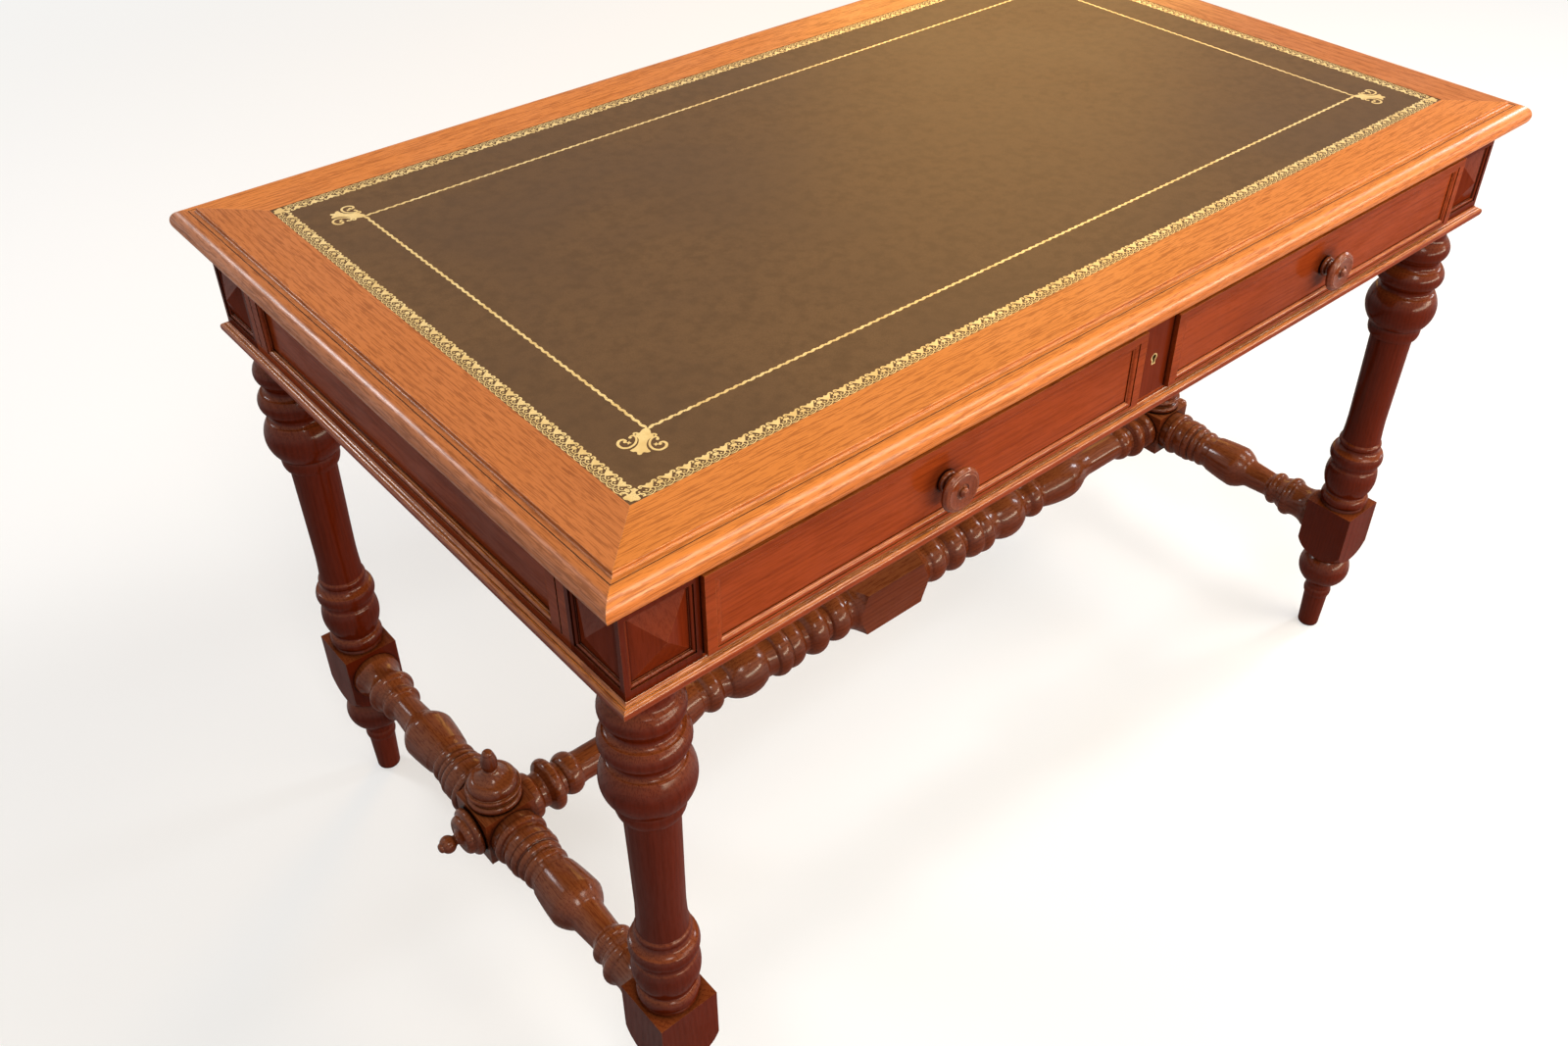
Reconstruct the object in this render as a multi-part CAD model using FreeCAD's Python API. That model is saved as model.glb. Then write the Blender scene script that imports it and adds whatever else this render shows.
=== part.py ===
import FreeCAD, Part
import math
import os

Vec = FreeCAD.Vector
ORIGIN = Vec(0, 0, 0)
AXIS_X = Vec(1, 0, 0)
AXIS_Y = Vec(0, 1, 0)
AXIS_Z = Vec(0, 0, 1)

# A library table of oak, with a leather top, two drawers and turned legs.
# Millimetres, X along the front, front at -Y, +Z up, origin on the floor at the middle.

# Overall sizes
TABLE_LENGTH = 1200.0
TABLE_WIDTH = 712.0
TABLE_HEIGHT = 760.0
TOP_OVERHANG = 21.5
RUNNING_GAP = 0.8
REST_GAP = 0.3

# Top
TOP_THICKNESS = 28.0
BORDER_WIDTH = 70.0
EDGE_MOULDING_WIDTH = 21.0
LEATHER_THICKNESS = 1.6
LEATHER_SINK = 0.3
TONGUE_LENGTH = 8.0
TONGUE_THICKNESS = 8.0

# Frieze
FRIEZE_HEIGHT = 106.0
POST_WIDTH = 68.6
RAIL_THICKNESS = 24.0
DRAWER_RAIL_DEPTH = 60.0
TOP_RAIL_THICKNESS = 13.0
BOTTOM_RAIL_THICKNESS = 15.0
STILE_WIDTH = 42.6
STILE_DEPTH = 30.0
TENON_LENGTH = 25.0
TENON_THICKNESS = 9.0
TENON_SHOULDER = 13.0
RAIL_TENON_THICKNESS = 7.0
STUB_TENON_LENGTH = 6.0
END_PANEL_MARGIN = 24.5
END_PANEL_DEPTH = 5.7
END_PANEL_STRIP_WIDTH = 4.0
END_PANEL_STRIP_HEIGHT = 5.0
PANEL_BOTTOM_MARGIN = 19.5
PANEL_TOP_MARGIN = 20.0
QUIRK_WIDTH = 1.6
QUIRK_DEPTH = 1.6
QUIRK_SETBACK = 11.0
BASE_MOULDING_HEIGHT = 11.6
BASE_MOULDING_PROUD = 7.2

# Sunk corner panels with their pyramids
CORNER_BORDER = 5.0
CORNER_RECESS_DEPTH = 4.8
CORNER_STRIP_WIDTH = 3.3
CORNER_STRIP_HEIGHT = 3.5
PYRAMID_HEIGHT = 11.4
PYRAMID_EDGE = 0.6

# Legs
LEG_BLOCK_WIDTH = 62.0
LEG_BLOCK_TOP = 212.0
LEG_BLOCK_HEIGHT = 62.0
LEG_SHOULDER_HEIGHT = 22.0
LEG_RADIUS = 39.7
FOOT_RADIUS = 32.0

# Stretchers
STRETCHER_AXIS_HEIGHT = 178.0
CROSS_BLOCK_WIDTH = 59.0
SIDE_STRETCHER_RADIUS = 30.0
LONG_STRETCHER_RADIUS = 33.0
CENTRE_BLOCK_WIDTH = 63.0
CENTRE_BLOCK_LENGTH = 92.0
CENTRE_SHOULDER_LENGTH = 12.0
ROUND_TENON_RADIUS = 11.0
ROUND_TENON_LENGTH = 20.0

# Finials on the crossings
TOP_FINIAL_LENGTH = 68.0
TOP_FINIAL_RADIUS = 29.0
OUTER_FINIAL_LENGTH = 41.0
OUTER_FINIAL_RADIUS = 27.0
DOWEL_RADIUS = 6.0
DOWEL_LENGTH = 14.0

# Drawers
DRAWER_REAR_GAP = 110.4
DRAWER_PROUD = 5.4
DRAWER_FRONT_THICKNESS = 26.0
DRAWER_SIDE_THICKNESS = 11.0
DRAWER_BACK_THICKNESS = 10.0
DRAWER_BOTTOM_THICKNESS = 7.0
DRAWER_SIDE_INSET = 12.0
DRAWER_SIDE_DROP = 2.0
DRAWER_BOTTOM_RISE = 8.0
DRAWER_GROOVE_DEPTH = 5.0
DRAWER_BACK_SETBACK = 12.0
DRAWER_BACK_DROP = 6.0
DOVETAIL_COUNT = 3
DOVETAIL_LENGTH = 17.0
DOVETAIL_ROOT_WIDTH = 12.5
DOVETAIL_FLARE = 2.5
DRAWER_PANEL_END_MARGIN = 9.5
DRAWER_PANEL_TOP_MARGIN = 7.3
DRAWER_PANEL_BOTTOM_MARGIN = 2.7
DRAWER_PANEL_DEPTH = 3.8
DRAWER_STRIP_WIDTH = 5.8
DRAWER_STRIP_HEIGHT = 3.0

# Knobs
KNOB_RADIUS = 20.5
KNOB_LENGTH = 24.0
KNOB_SCREW_RADIUS = 2.4
KNOB_SCREW_GRIP = 14.0
SCREW_HEAD_RADIUS = 4.6
SCREW_HEAD_HEIGHT = 2.6
SCREW_SLOT_WIDTH = 1.0
SCREW_SLOT_DEPTH = 1.1

# Drawer guides
RUNNER_WIDTH = 60.0
RUNNER_REACH = 18.0
GUIDE_HEIGHT = 20.0
GLUE_BLOCK_SIDE = 22.0
GLUE_BLOCK_LENGTH = 60.0
GLUE_BLOCK_COUNT = 4
TOP_SCREW_RADIUS = 2.2
TOP_SCREW_BITE = 14.0
TOP_SCREWS_PER_KICKER = 3

# Lock of the two drawers, behind the centre stile
LOCK_HEIGHT_SHARE = 0.51
LOCK_WIDTH = 30.0
LOCK_HEIGHT = 40.0
LOCK_WALL = 5.0
LOCK_PLATE_THICKNESS = 1.6
LOCK_PLATE_LAP = 5.0
BOLT_THICKNESS = 4.0
BOLT_HEIGHT = 12.0
BOLT_GAP = 0.2
BOLT_TRAVEL = 7.0
BOLT_SETBACK = 9.5
HUB_RADIUS = 5.0
HUB_GAP = 0.08
HUB_SLOT_WIDTH = 2.0
KEYHOLE_RADIUS = 2.8
KEYHOLE_SLOT_WIDTH = 2.6
KEYHOLE_LENGTH = 9.0
ESCUTCHEON_RIM = 1.3
ESCUTCHEON_THICKNESS = 2.0
LOCK_SCREW_RADIUS = 1.3
LOCK_SCREW_LENGTH = 10.0
LOCK_SCREW_HEAD_RADIUS = 2.0
LOCK_SCREW_HEAD_HEIGHT = 0.8

# Places worked out from the sizes above
HALF_LENGTH = TABLE_LENGTH / 2
HALF_WIDTH = TABLE_WIDTH / 2
FRIEZE_X = HALF_LENGTH - TOP_OVERHANG
FRIEZE_Y = HALF_WIDTH - TOP_OVERHANG
FRIEZE_TOP = TABLE_HEIGHT - TOP_THICKNESS
FRIEZE_BOTTOM = FRIEZE_TOP - FRIEZE_HEIGHT
LEG_X = FRIEZE_X - POST_WIDTH / 2
LEG_Y = FRIEZE_Y - POST_WIDTH / 2
POST_INNER_X = FRIEZE_X - POST_WIDTH
POST_INNER_Y = FRIEZE_Y - POST_WIDTH
LEATHER_X = HALF_LENGTH - BORDER_WIDTH
LEATHER_Y = HALF_WIDTH - BORDER_WIDTH
BOARD_TOP = TABLE_HEIGHT - LEATHER_SINK - LEATHER_THICKNESS
PANEL_BOTTOM = FRIEZE_BOTTOM + PANEL_BOTTOM_MARGIN
PANEL_TOP = FRIEZE_TOP - PANEL_TOP_MARGIN
PANEL_MIDDLE = (PANEL_BOTTOM + PANEL_TOP) / 2
PANEL_HEIGHT = PANEL_TOP - PANEL_BOTTOM
RAIL_INNER_X = FRIEZE_X - RAIL_THICKNESS
RAIL_INNER_Y = FRIEZE_Y - RAIL_THICKNESS
OPENING_BOTTOM = FRIEZE_BOTTOM + BOTTOM_RAIL_THICKNESS
OPENING_TOP = FRIEZE_TOP - TOP_RAIL_THICKNESS
RAIL_BACK_Y = -FRIEZE_Y + DRAWER_RAIL_DEPTH
STILE_BACK_Y = -FRIEZE_Y + STILE_DEPTH

# Drawer places, measured for the right drawer, whose X is positive
DRAWER_INNER_X = STILE_WIDTH / 2 + RUNNING_GAP
DRAWER_OUTER_X = POST_INNER_X - RUNNING_GAP
DRAWER_MIDDLE_X = (DRAWER_INNER_X + DRAWER_OUTER_X) / 2
DRAWER_WIDTH = DRAWER_OUTER_X - DRAWER_INNER_X
DRAWER_FRONT_BOTTOM = OPENING_BOTTOM + RUNNING_GAP
DRAWER_FRONT_TOP = OPENING_TOP - RUNNING_GAP
DRAWER_PANEL_BOTTOM = DRAWER_FRONT_BOTTOM + DRAWER_PANEL_BOTTOM_MARGIN
DRAWER_PANEL_TOP = DRAWER_FRONT_TOP - DRAWER_PANEL_TOP_MARGIN
DRAWER_PANEL_MIDDLE = (DRAWER_PANEL_BOTTOM + DRAWER_PANEL_TOP) / 2
DRAWER_PANEL_HEIGHT = DRAWER_PANEL_TOP - DRAWER_PANEL_BOTTOM
DRAWER_FACE_Y = -FRIEZE_Y - DRAWER_PROUD
DRAWER_REAR_Y = RAIL_INNER_Y - DRAWER_REAR_GAP
FRONT_BACK_Y = DRAWER_FACE_Y + DRAWER_FRONT_THICKNESS
DRAWER_FIELD_Y = DRAWER_FACE_Y + DRAWER_PANEL_DEPTH
SIDE_INNER_X = DRAWER_INNER_X + DRAWER_SIDE_INSET
SIDE_OUTER_X = DRAWER_OUTER_X - DRAWER_SIDE_INSET
SIDE_BOTTOM = OPENING_BOTTOM + REST_GAP
SIDE_TOP = DRAWER_FRONT_TOP - DRAWER_SIDE_DROP
SIDE_HEIGHT = SIDE_TOP - SIDE_BOTTOM
BOTTOM_LOW = SIDE_BOTTOM + DRAWER_BOTTOM_RISE
BOTTOM_HIGH = BOTTOM_LOW + DRAWER_BOTTOM_THICKNESS
BACK_FRONT_Y = DRAWER_REAR_Y - DRAWER_BACK_SETBACK - DRAWER_BACK_THICKNESS

# Lock places
LOCK_Z = OPENING_BOTTOM + (OPENING_TOP - OPENING_BOTTOM) * LOCK_HEIGHT_SHARE
LOCK_FRONT_Y = -FRIEZE_Y + LOCK_WALL
BOLT_FRONT_Y = -FRIEZE_Y + BOLT_SETBACK
BOLT_BACK_Y = BOLT_FRONT_Y + BOLT_THICKNESS

# Outlines as shares: along, across, and how far an arc's middle swells outward.
# Along runs down a leg and away from the block on a stretcher.
LEG_TURNING_SHARES = [
    (0, 0.806, 0), (0.019, 0.806, 0), (0.022, 0.778, 0), (0.068, 0.768, -0.11),
    (0.072, 0.793, 0), (0.118, 0.781, 0.086), (0.121, 0.768, 0), (0.151, 0.828, -0.115),
    (0.155, 0.856, 0), (0.202, 0.844, 0.091), (0.205, 0.819, 0), (0.231, 0.831, -0.10),
    (0.234, 0.856, 0), (0.336, 0.793, 0.176), (0.340, 0.718, 0), (0.377, 0.705, 0.04),
    (0.379, 0.605, 0), (0.546, 0.577, 0), (0.679, 0.559, 0), (0.752, 0.592, -0.005),
    (0.755, 0.612, 0), (0.772, 0.612, 0.035), (0.775, 0.592, 0), (0.795, 0.756, -0.038),
    (0.797, 0.77, 0), (0.833, 0.756, 0.045), (0.835, 0.718, 0), (0.852, 0.728, -0.03),
    (0.855, 0.743, 0), (0.942, 0.668, 0.088), (0.944, 0.655, 0), (0.957, 0.655, -0.038),
    (0.959, 0.68, 0), (0.990, 0.68, 0.055), (0.992, 0.662, 0), (1, 0.693, 0),
]
FOOT_TURNING_SHARES = [
    (0, 0.81, 0), (0.03, 0.75, 0), (0.39, 0.55, 0.35), (0.405, 0.505, 0),
    (0.47, 0.50, -0.01), (0.57, 0.50, 0.045), (0.578, 0.475, 0), (0.965, 0.42, 0),
    (1, 0.36, 0.02),
]
SIDE_TURNING_SHARES = [
    (0, 0.90, 0), (0.038, 0.90, 0), (0.042, 0.95, 0), (0.076, 0.95, 0.05),
    (0.080, 0.87, 0), (0.092, 0.85, -0.01), (0.146, 0.91, 0.035), (0.150, 0.88, 0),
    (0.186, 0.86, 0.055), (0.192, 0.79, -0.01), (0.224, 0.79, 0.055), (0.234, 0.74, -0.012),
    (0.240, 0.78, 0), (0.276, 0.77, 0.05), (0.284, 0.745, -0.01), (0.304, 0.775, 0),
    (0.316, 0.80, 0), (0.324, 0.835, 0), (0.475, 0.965, 0.015), (0.50, 0.93, 0.012),
    (0.552, 0.69, 0.02), (0.58, 0.61, -0.015), (0.70, 0.55, 0), (0.722, 0.64, -0.01),
    (0.766, 0.66, 0.09), (0.79, 0.69, -0.025), (0.815, 0.77, 0), (0.867, 0.79, 0.11),
    (0.905, 0.73, -0.02), (0.97, 0.89, -0.04), (1, 0.92, 0),
]
LONG_TURNING_SHARES = [
    (0, 0.93, 0), (0.016, 0.79, -0.02), (0.024, 0.82, 0), (0.079, 0.83, 0.145),
    (0.084, 0.74, 0), (0.095, 0.74, -0.01), (0.099, 0.80, 0), (0.158, 0.79, 0.205),
    (0.162, 0.73, 0), (0.174, 0.70, -0.005), (0.224, 0.93, 0.12), (0.227, 0.90, 0),
    (0.231, 0.92, 0), (0.268, 0.92, 0.08), (0.273, 0.82, 0), (0.297, 0.78, -0.015),
    (0.301, 0.79, 0), (0.411, 0.73, 0.25), (0.416, 0.65, 0), (0.44, 0.63, -0.03),
    (0.444, 0.68, 0), (0.49, 0.68, 0.155), (0.495, 0.65, 0), (0.505, 0.665, -0.01),
    (0.51, 0.70, 0), (0.61, 0.925, 0.045), (0.664, 0.76, 0.045), (0.703, 0.575, -0.025),
    (0.72, 0.545, 0), (0.84, 0.545, 0), (0.855, 0.575, -0.005), (0.901, 0.59, 0.155),
    (0.91, 0.62, 0), (0.914, 0.73, 0), (0.945, 0.76, 0.16), (0.951, 0.635, 0),
    (0.966, 0.60, -0.015), (0.972, 0.70, 0), (0.980, 0.79, 0.02), (1, 0.79, 0.03),
]
TOP_FINIAL_SHARES = [
    (0, 0.85, 0), (0.13, 0.85, 0.13), (0.15, 0.78, 0), (0.20, 0.79, -0.03),
    (0.21, 0.91, 0), (0.285, 0.91, 0.09), (0.295, 0.88, 0), (0.47, 0.62, 0.11),
    (0.60, 0.30, -0.03), (0.63, 0.235, -0.01), (0.665, 0.27, 0), (0.93, 0.20, 0.055),
    (1, 0.03, 0.05),
]
OUTER_FINIAL_SHARES = [
    (0, 0.89, 0), (0.03, 0.92, 0), (0.21, 0.92, 0.07), (0.24, 0.82, 0), (0.28, 0.80, -0.01),
    (0.42, 0.49, 0.09), (0.50, 0.24, -0.035), (0.545, 0.20, -0.01), (0.59, 0.235, 0),
    (0.92, 0.20, 0.14), (1, 0.03, 0.055),
]
KNOB_SHARES = [
    (0, 0.42, 0), (0.02, 0.44, 0), (0.22, 0.43, 0.05), (0.24, 0.33, 0), (0.38, 0.32, -0.03),
    (0.56, 0.86, -0.13), (0.60, 0.93, 0), (0.76, 0.95, 0.05), (0.84, 0.80, 0.03),
    (0.86, 0.76, 0), (0.82, 0.34, -0.02), (0.79, 0.28, -0.01), (0.83, 0.22, 0),
    (0.97, 0.15, 0.02), (1, 0.07, 0.02), (1, 0, 0),
]
SHOULDER_SWELL_SHARE = 0.07
CENTRE_SHOULDER_SWELL_SHARE = -0.04

# Sections of the mouldings as shares: outward, up, and the swell of the arc that ends here.
TOP_EDGE_SHARES = [
    (0, 1, 0), (0.02, 0.975, 0.004), (0.03, 0.94, 0), (0.095, 0.885, -0.012), (0.105, 0.872, 0),
    (0.27, 0.868, 0), (0.285, 0.845, 0), (0.305, 0.842, 0), (0.32, 0.871, 0), (1, 0.44, 0.155),
    (0.416, 0, 0.128),
]
BASE_SHARES = [
    (0.06, 1, 0), (0.40, 0.81, -0.03), (0.44, 0.77, 0), (0.48, 0.79, 0), (1, 0.42, 0.093),
    (0.86, 0.06, 0.022), (0.76, 0, 0),
]
OVOLO_SHARES = [(0, 0.30, 0), (0.16, 0.42, 0), (0.66, 1, 0.16), (1, 1, 0)]


def box(x0, x1, y0, y1, z0, z1):
    """A box between two corners."""
    return Part.makeBox(x1 - x0, y1 - y0, z1 - z0, Vec(x0, y0, z0))


def rod(radius, length, base, direction):
    return Part.makeCylinder(radius, length, base, direction)


def joined(shapes):
    """One clean solid from touching or overlapping shapes."""
    whole = shapes[0].fuse(shapes[1:])
    return whole.removeSplitter()


def mirrored(shape, normal):
    return shape.mirror(ORIGIN, normal)


def outline(points, scale_a, scale_b, to_vector):
    """Edges through points of shares; an arc's middle swells to the left of its chord."""
    edges = []
    for (a0, b0, _), (a1, b1, swell) in zip(points, points[1:]):
        start = to_vector(a0 * scale_a, b0 * scale_b)
        end = to_vector(a1 * scale_a, b1 * scale_b)
        if swell:
            chord_a = (a1 - a0) * scale_a
            chord_b = (b1 - b0) * scale_b
            chord = math.hypot(chord_a, chord_b)
            reach = swell * scale_b
            middle = to_vector((a0 + a1) / 2 * scale_a - chord_b / chord * reach,
                               (b0 + b1) / 2 * scale_b + chord_a / chord * reach)
            edges.append(Part.Arc(start, middle, end).toShape())
        else:
            edges.append(Part.makeLine(start, end))
    return edges


def turning(shares, length, radius):
    """A turned solid that stands on the origin and runs up Z by its length."""
    edges = outline(shares, length, radius, lambda along, out: Vec(out, 0, along))
    first = Vec(shares[0][1] * radius, 0, shares[0][0] * length)
    last = Vec(shares[-1][1] * radius, 0, shares[-1][0] * length)
    foot = Vec(0, 0, first.z)
    head = Vec(0, 0, last.z)
    if last.distanceToPoint(head) > 0:
        edges.append(Part.makeLine(last, head))
    edges.append(Part.makeLine(head, foot))
    edges.append(Part.makeLine(foot, first))
    face = Part.Face(Part.Wire(Part.__sortEdges__(edges)))
    return face.revolve(ORIGIN, AXIS_Z, 360)


def aimed(shape, base, direction):
    """Turns a shape's Z to the direction and carries its origin to the base."""
    moved = shape.copy()
    moved.Placement = FreeCAD.Placement(base, FreeCAD.Rotation(AXIS_Z, direction))
    return moved


def on_face(shape, quarter_turns, place):
    """Stands a flat-lying shape upright: facing the front, then turned by quarters."""
    upright = shape.copy()
    upright.rotate(ORIGIN, AXIS_X, 90)
    upright.rotate(ORIGIN, AXIS_Z, 90 * quarter_turns)
    upright.translate(place)
    return upright


def prism(corners, height):
    """An upright prism over corners in the XY plane."""
    points = [Vec(x, y, 0) for x, y in corners]
    face = Part.Face(Part.makePolygon(points + points[:1]))
    return face.extrude(Vec(0, 0, height))


def mitred_frame(inner_x, inner_y, width, height, section_edges):
    """Four mitred strips round a rectangle, from the front one anticlockwise.

    The section's edges lie in the YZ plane, with -Y outward and the inner edge at Y = 0."""
    section = Part.Face(Part.Wire(Part.__sortEdges__(section_edges)))
    strips = []
    for side in range(4):
        half_run, half_rise = (inner_x, inner_y) if side % 2 == 0 else (inner_y, inner_x)
        reach = half_run + width
        bar = section.extrude(Vec(2 * reach, 0, 0))
        bar.translate(Vec(-reach, -half_rise, 0))
        wedge = prism([(-half_run, -half_rise), (-reach, -half_rise - width),
                       (reach, -half_rise - width), (half_run, -half_rise)], height)
        strip = bar.common(wedge)
        strip.rotate(ORIGIN, AXIS_Z, 90 * side)
        strips.append(strip.Solids[0])
    return strips


def moulding_section(shares, width, height, flat):
    """Closed section: a flat inner part, then the moulded edge of the given width."""
    def place(outward, up):
        return Vec(0, -flat - outward, up)
    edges = outline(shares, width, height, place)
    start = place(shares[0][0] * width, shares[0][1] * height)
    end = place(shares[-1][0] * width, shares[-1][1] * height)
    inner_top = Vec(0, 0, start.z)
    inner_bottom = Vec(0, 0, end.z)
    if start.distanceToPoint(inner_top) > 0:
        edges.append(Part.makeLine(inner_top, start))
    edges.append(Part.makeLine(end, inner_bottom))
    edges.append(Part.makeLine(inner_bottom, inner_top))
    return edges


def strip_section(width, height):
    """An ovolo strip: low at its inner edge, flat and square at its outer edge."""
    def place(outward, up):
        return Vec(0, -outward, up)
    edges = outline(OVOLO_SHARES, width, height, place)
    edges.append(Part.makeLine(place(width, height), place(width, 0)))
    edges.append(Part.makeLine(place(width, 0), place(0, 0)))
    edges.append(Part.makeLine(place(0, 0), place(0, OVOLO_SHARES[0][1] * height)))
    return edges


def strip_frame(outer_x, outer_y, width, height):
    """Four mitred ovolo strips inside a sunk rectangle, lying on its floor."""
    return mitred_frame(outer_x - width, outer_y - width, width, height,
                        strip_section(width, height))


def pyramid(half_x, half_y, height, edge):
    """A four-sided pyramid on a thin square edge."""
    low = [Vec(sx * half_x, sy * half_y, 0) for sx, sy in ((-1, -1), (1, -1), (1, 1), (-1, 1))]
    high = [point + Vec(0, 0, edge) for point in low]
    apex = Vec(0, 0, height)
    faces = [Part.Face(Part.makePolygon(low + low[:1]))]
    for first in range(4):
        second = (first + 1) % 4
        wall = [low[first], low[second], high[second], high[first], low[first]]
        slope = [high[first], high[second], apex, high[first]]
        faces.append(Part.Face(Part.makePolygon(wall)))
        faces.append(Part.Face(Part.makePolygon(slope)))
    return Part.makeSolid(Part.makeShell(faces))


def screw(radius, length, head_radius, head_height, slot_width, slot_depth):
    """A slotted screw that points down from the underside of its head."""
    shank = rod(radius, length, Vec(0, 0, -length), AXIS_Z)
    head = rod(head_radius, head_height, ORIGIN, AXIS_Z)
    slot = box(-head_radius, head_radius, -slot_width / 2, slot_width / 2,
               head_height - slot_depth, head_height)
    return joined([shank, head]).cut(slot)


def squared_block(width, straight, shoulder, neck_radius, swell):
    """A square block on the origin, rising Z, whose far corners are turned away to a neck."""
    corner_radius = width / math.sqrt(2)
    length = straight + shoulder
    block = box(-width / 2, width / 2, -width / 2, width / 2, 0, length)
    shares = [(0, 1, 0), (straight / length, 1, 0), (1, neck_radius / corner_radius, swell)]
    return block.common(turning(shares, length, corner_radius))


parts = {}


# Top: a board with the leather, and four mitred border pieces
def make_top():
    board_half_thickness = TONGUE_THICKNESS / 2
    board_middle = (FRIEZE_TOP + BOARD_TOP) / 2
    board = box(-LEATHER_X, LEATHER_X, -LEATHER_Y, LEATHER_Y, FRIEZE_TOP, BOARD_TOP)
    tongue = box(-LEATHER_X - TONGUE_LENGTH, LEATHER_X + TONGUE_LENGTH,
                 -LEATHER_Y - TONGUE_LENGTH, LEATHER_Y + TONGUE_LENGTH,
                 board_middle - board_half_thickness, board_middle + board_half_thickness)
    board = joined([board, tongue])
    flat = BORDER_WIDTH - EDGE_MOULDING_WIDTH
    section = moulding_section(TOP_EDGE_SHARES, EDGE_MOULDING_WIDTH, TOP_THICKNESS, flat)
    strips = mitred_frame(LEATHER_X, LEATHER_Y, BORDER_WIDTH, TOP_THICKNESS, section)
    for side, strip in zip(("front", "right", "back", "left"), strips):
        strip.translate(Vec(0, 0, FRIEZE_TOP))
        parts["top_border_" + side] = strip.cut(tongue)
    for place in top_screw_places():
        hole = rod(TOP_SCREW_RADIUS, TOP_SCREW_BITE, place, AXIS_Z)
        board = board.cut(hole)
    parts["top_board"] = board
    parts["leather_inset"] = box(-LEATHER_X, LEATHER_X, -LEATHER_Y, LEATHER_Y,
                                 BOARD_TOP, BOARD_TOP + LEATHER_THICKNESS)


def top_screw_places():
    """Where the screws pass from the kickers into the underside of the top board."""
    places = []
    kicker_middles = (-SIDE_OUTER_X, 0, SIDE_OUTER_X)
    for x in kicker_middles:
        for index in range(TOP_SCREWS_PER_KICKER):
            share = (index + 1) / (TOP_SCREWS_PER_KICKER + 1)
            places.append(Vec(x, -POST_INNER_Y + 2 * POST_INNER_Y * share, FRIEZE_TOP))
    return places


# Legs: a square post in the frieze, turned below it, with a square block at the stretcher
def make_leg():
    """A leg on the origin's axis, standing on the floor."""
    half_post = POST_WIDTH / 2
    post = box(-half_post, half_post, -half_post, half_post, FRIEZE_BOTTOM, FRIEZE_TOP)
    upper_length = FRIEZE_BOTTOM - LEG_BLOCK_TOP
    upper = aimed(turning(LEG_TURNING_SHARES, upper_length, LEG_RADIUS),
                  Vec(0, 0, FRIEZE_BOTTOM), Vec(0, 0, -1))
    neck_radius = FOOT_TURNING_SHARES[0][1] * FOOT_RADIUS
    block = aimed(squared_block(LEG_BLOCK_WIDTH, LEG_BLOCK_HEIGHT, LEG_SHOULDER_HEIGHT,
                                neck_radius, SHOULDER_SWELL_SHARE),
                  Vec(0, 0, LEG_BLOCK_TOP), Vec(0, 0, -1))
    foot_height = LEG_BLOCK_TOP - LEG_BLOCK_HEIGHT - LEG_SHOULDER_HEIGHT
    foot = aimed(turning(FOOT_TURNING_SHARES, foot_height, FOOT_RADIUS),
                 Vec(0, 0, foot_height), Vec(0, 0, -1))
    return joined([post, upper, block, foot])


def corner_panel_faces():
    """For each leg: the turns and places of its two sunk panels."""
    faces = []
    for sx in (-1, 1):
        for sy in (-1, 1):
            long_turn = 0 if sy < 0 else 2
            end_turn = 1 if sx > 0 else 3
            long_place = Vec(sx * LEG_X, sy * FRIEZE_Y, PANEL_MIDDLE)
            end_place = Vec(sx * FRIEZE_X, sy * LEG_Y, PANEL_MIDDLE)
            faces.append((sx, sy, ((long_turn, long_place), (end_turn, end_place))))
    return faces


def make_legs():
    blank = make_leg()
    half_width = POST_WIDTH / 2 - CORNER_BORDER
    half_height = PANEL_HEIGHT / 2
    recess = box(-half_width, half_width, -half_height, half_height, -CORNER_RECESS_DEPTH, 0)
    frame = strip_frame(half_width, half_height, CORNER_STRIP_WIDTH, CORNER_STRIP_HEIGHT)
    gem = pyramid(half_width - CORNER_STRIP_WIDTH, half_height - CORNER_STRIP_WIDTH,
                  PYRAMID_HEIGHT, PYRAMID_EDGE)
    strips = []
    gems = []
    names = {(-1, -1): "leg_front_left", (1, -1): "leg_front_right",
             (-1, 1): "leg_back_left", (1, 1): "leg_back_right"}
    for sx, sy, faces in corner_panel_faces():
        leg = blank.copy()
        leg.translate(Vec(sx * LEG_X, sy * LEG_Y, 0))
        for turn, place in faces:
            leg = leg.cut(on_face(recess, turn, place))
            sunk = Vec(0, 0, -CORNER_RECESS_DEPTH)
            for piece, group in [(strip, strips) for strip in frame] + [(gem, gems)]:
                lowered = piece.copy()
                lowered.translate(sunk)
                group.append(on_face(lowered, turn, place))
        parts[names[(sx, sy)]] = leg
    parts["corner_mouldings"] = Part.makeCompound(strips)
    parts["corner_pyramids"] = Part.makeCompound(gems)


# Frieze rails between the posts
def long_panel_recess(half_length, quarter_turns, place):
    sunk = box(-half_length, half_length, -PANEL_HEIGHT / 2, PANEL_HEIGHT / 2, -END_PANEL_DEPTH, 0)
    return on_face(sunk, quarter_turns, place)


def long_panel_strips(half_length, quarter_turns, place):
    strips = strip_frame(half_length, PANEL_HEIGHT / 2, END_PANEL_STRIP_WIDTH,
                         END_PANEL_STRIP_HEIGHT)
    placed = []
    for strip in strips:
        strip.translate(Vec(0, 0, -END_PANEL_DEPTH))
        placed.append(on_face(strip, quarter_turns, place))
    return Part.makeCompound(placed)


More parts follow.
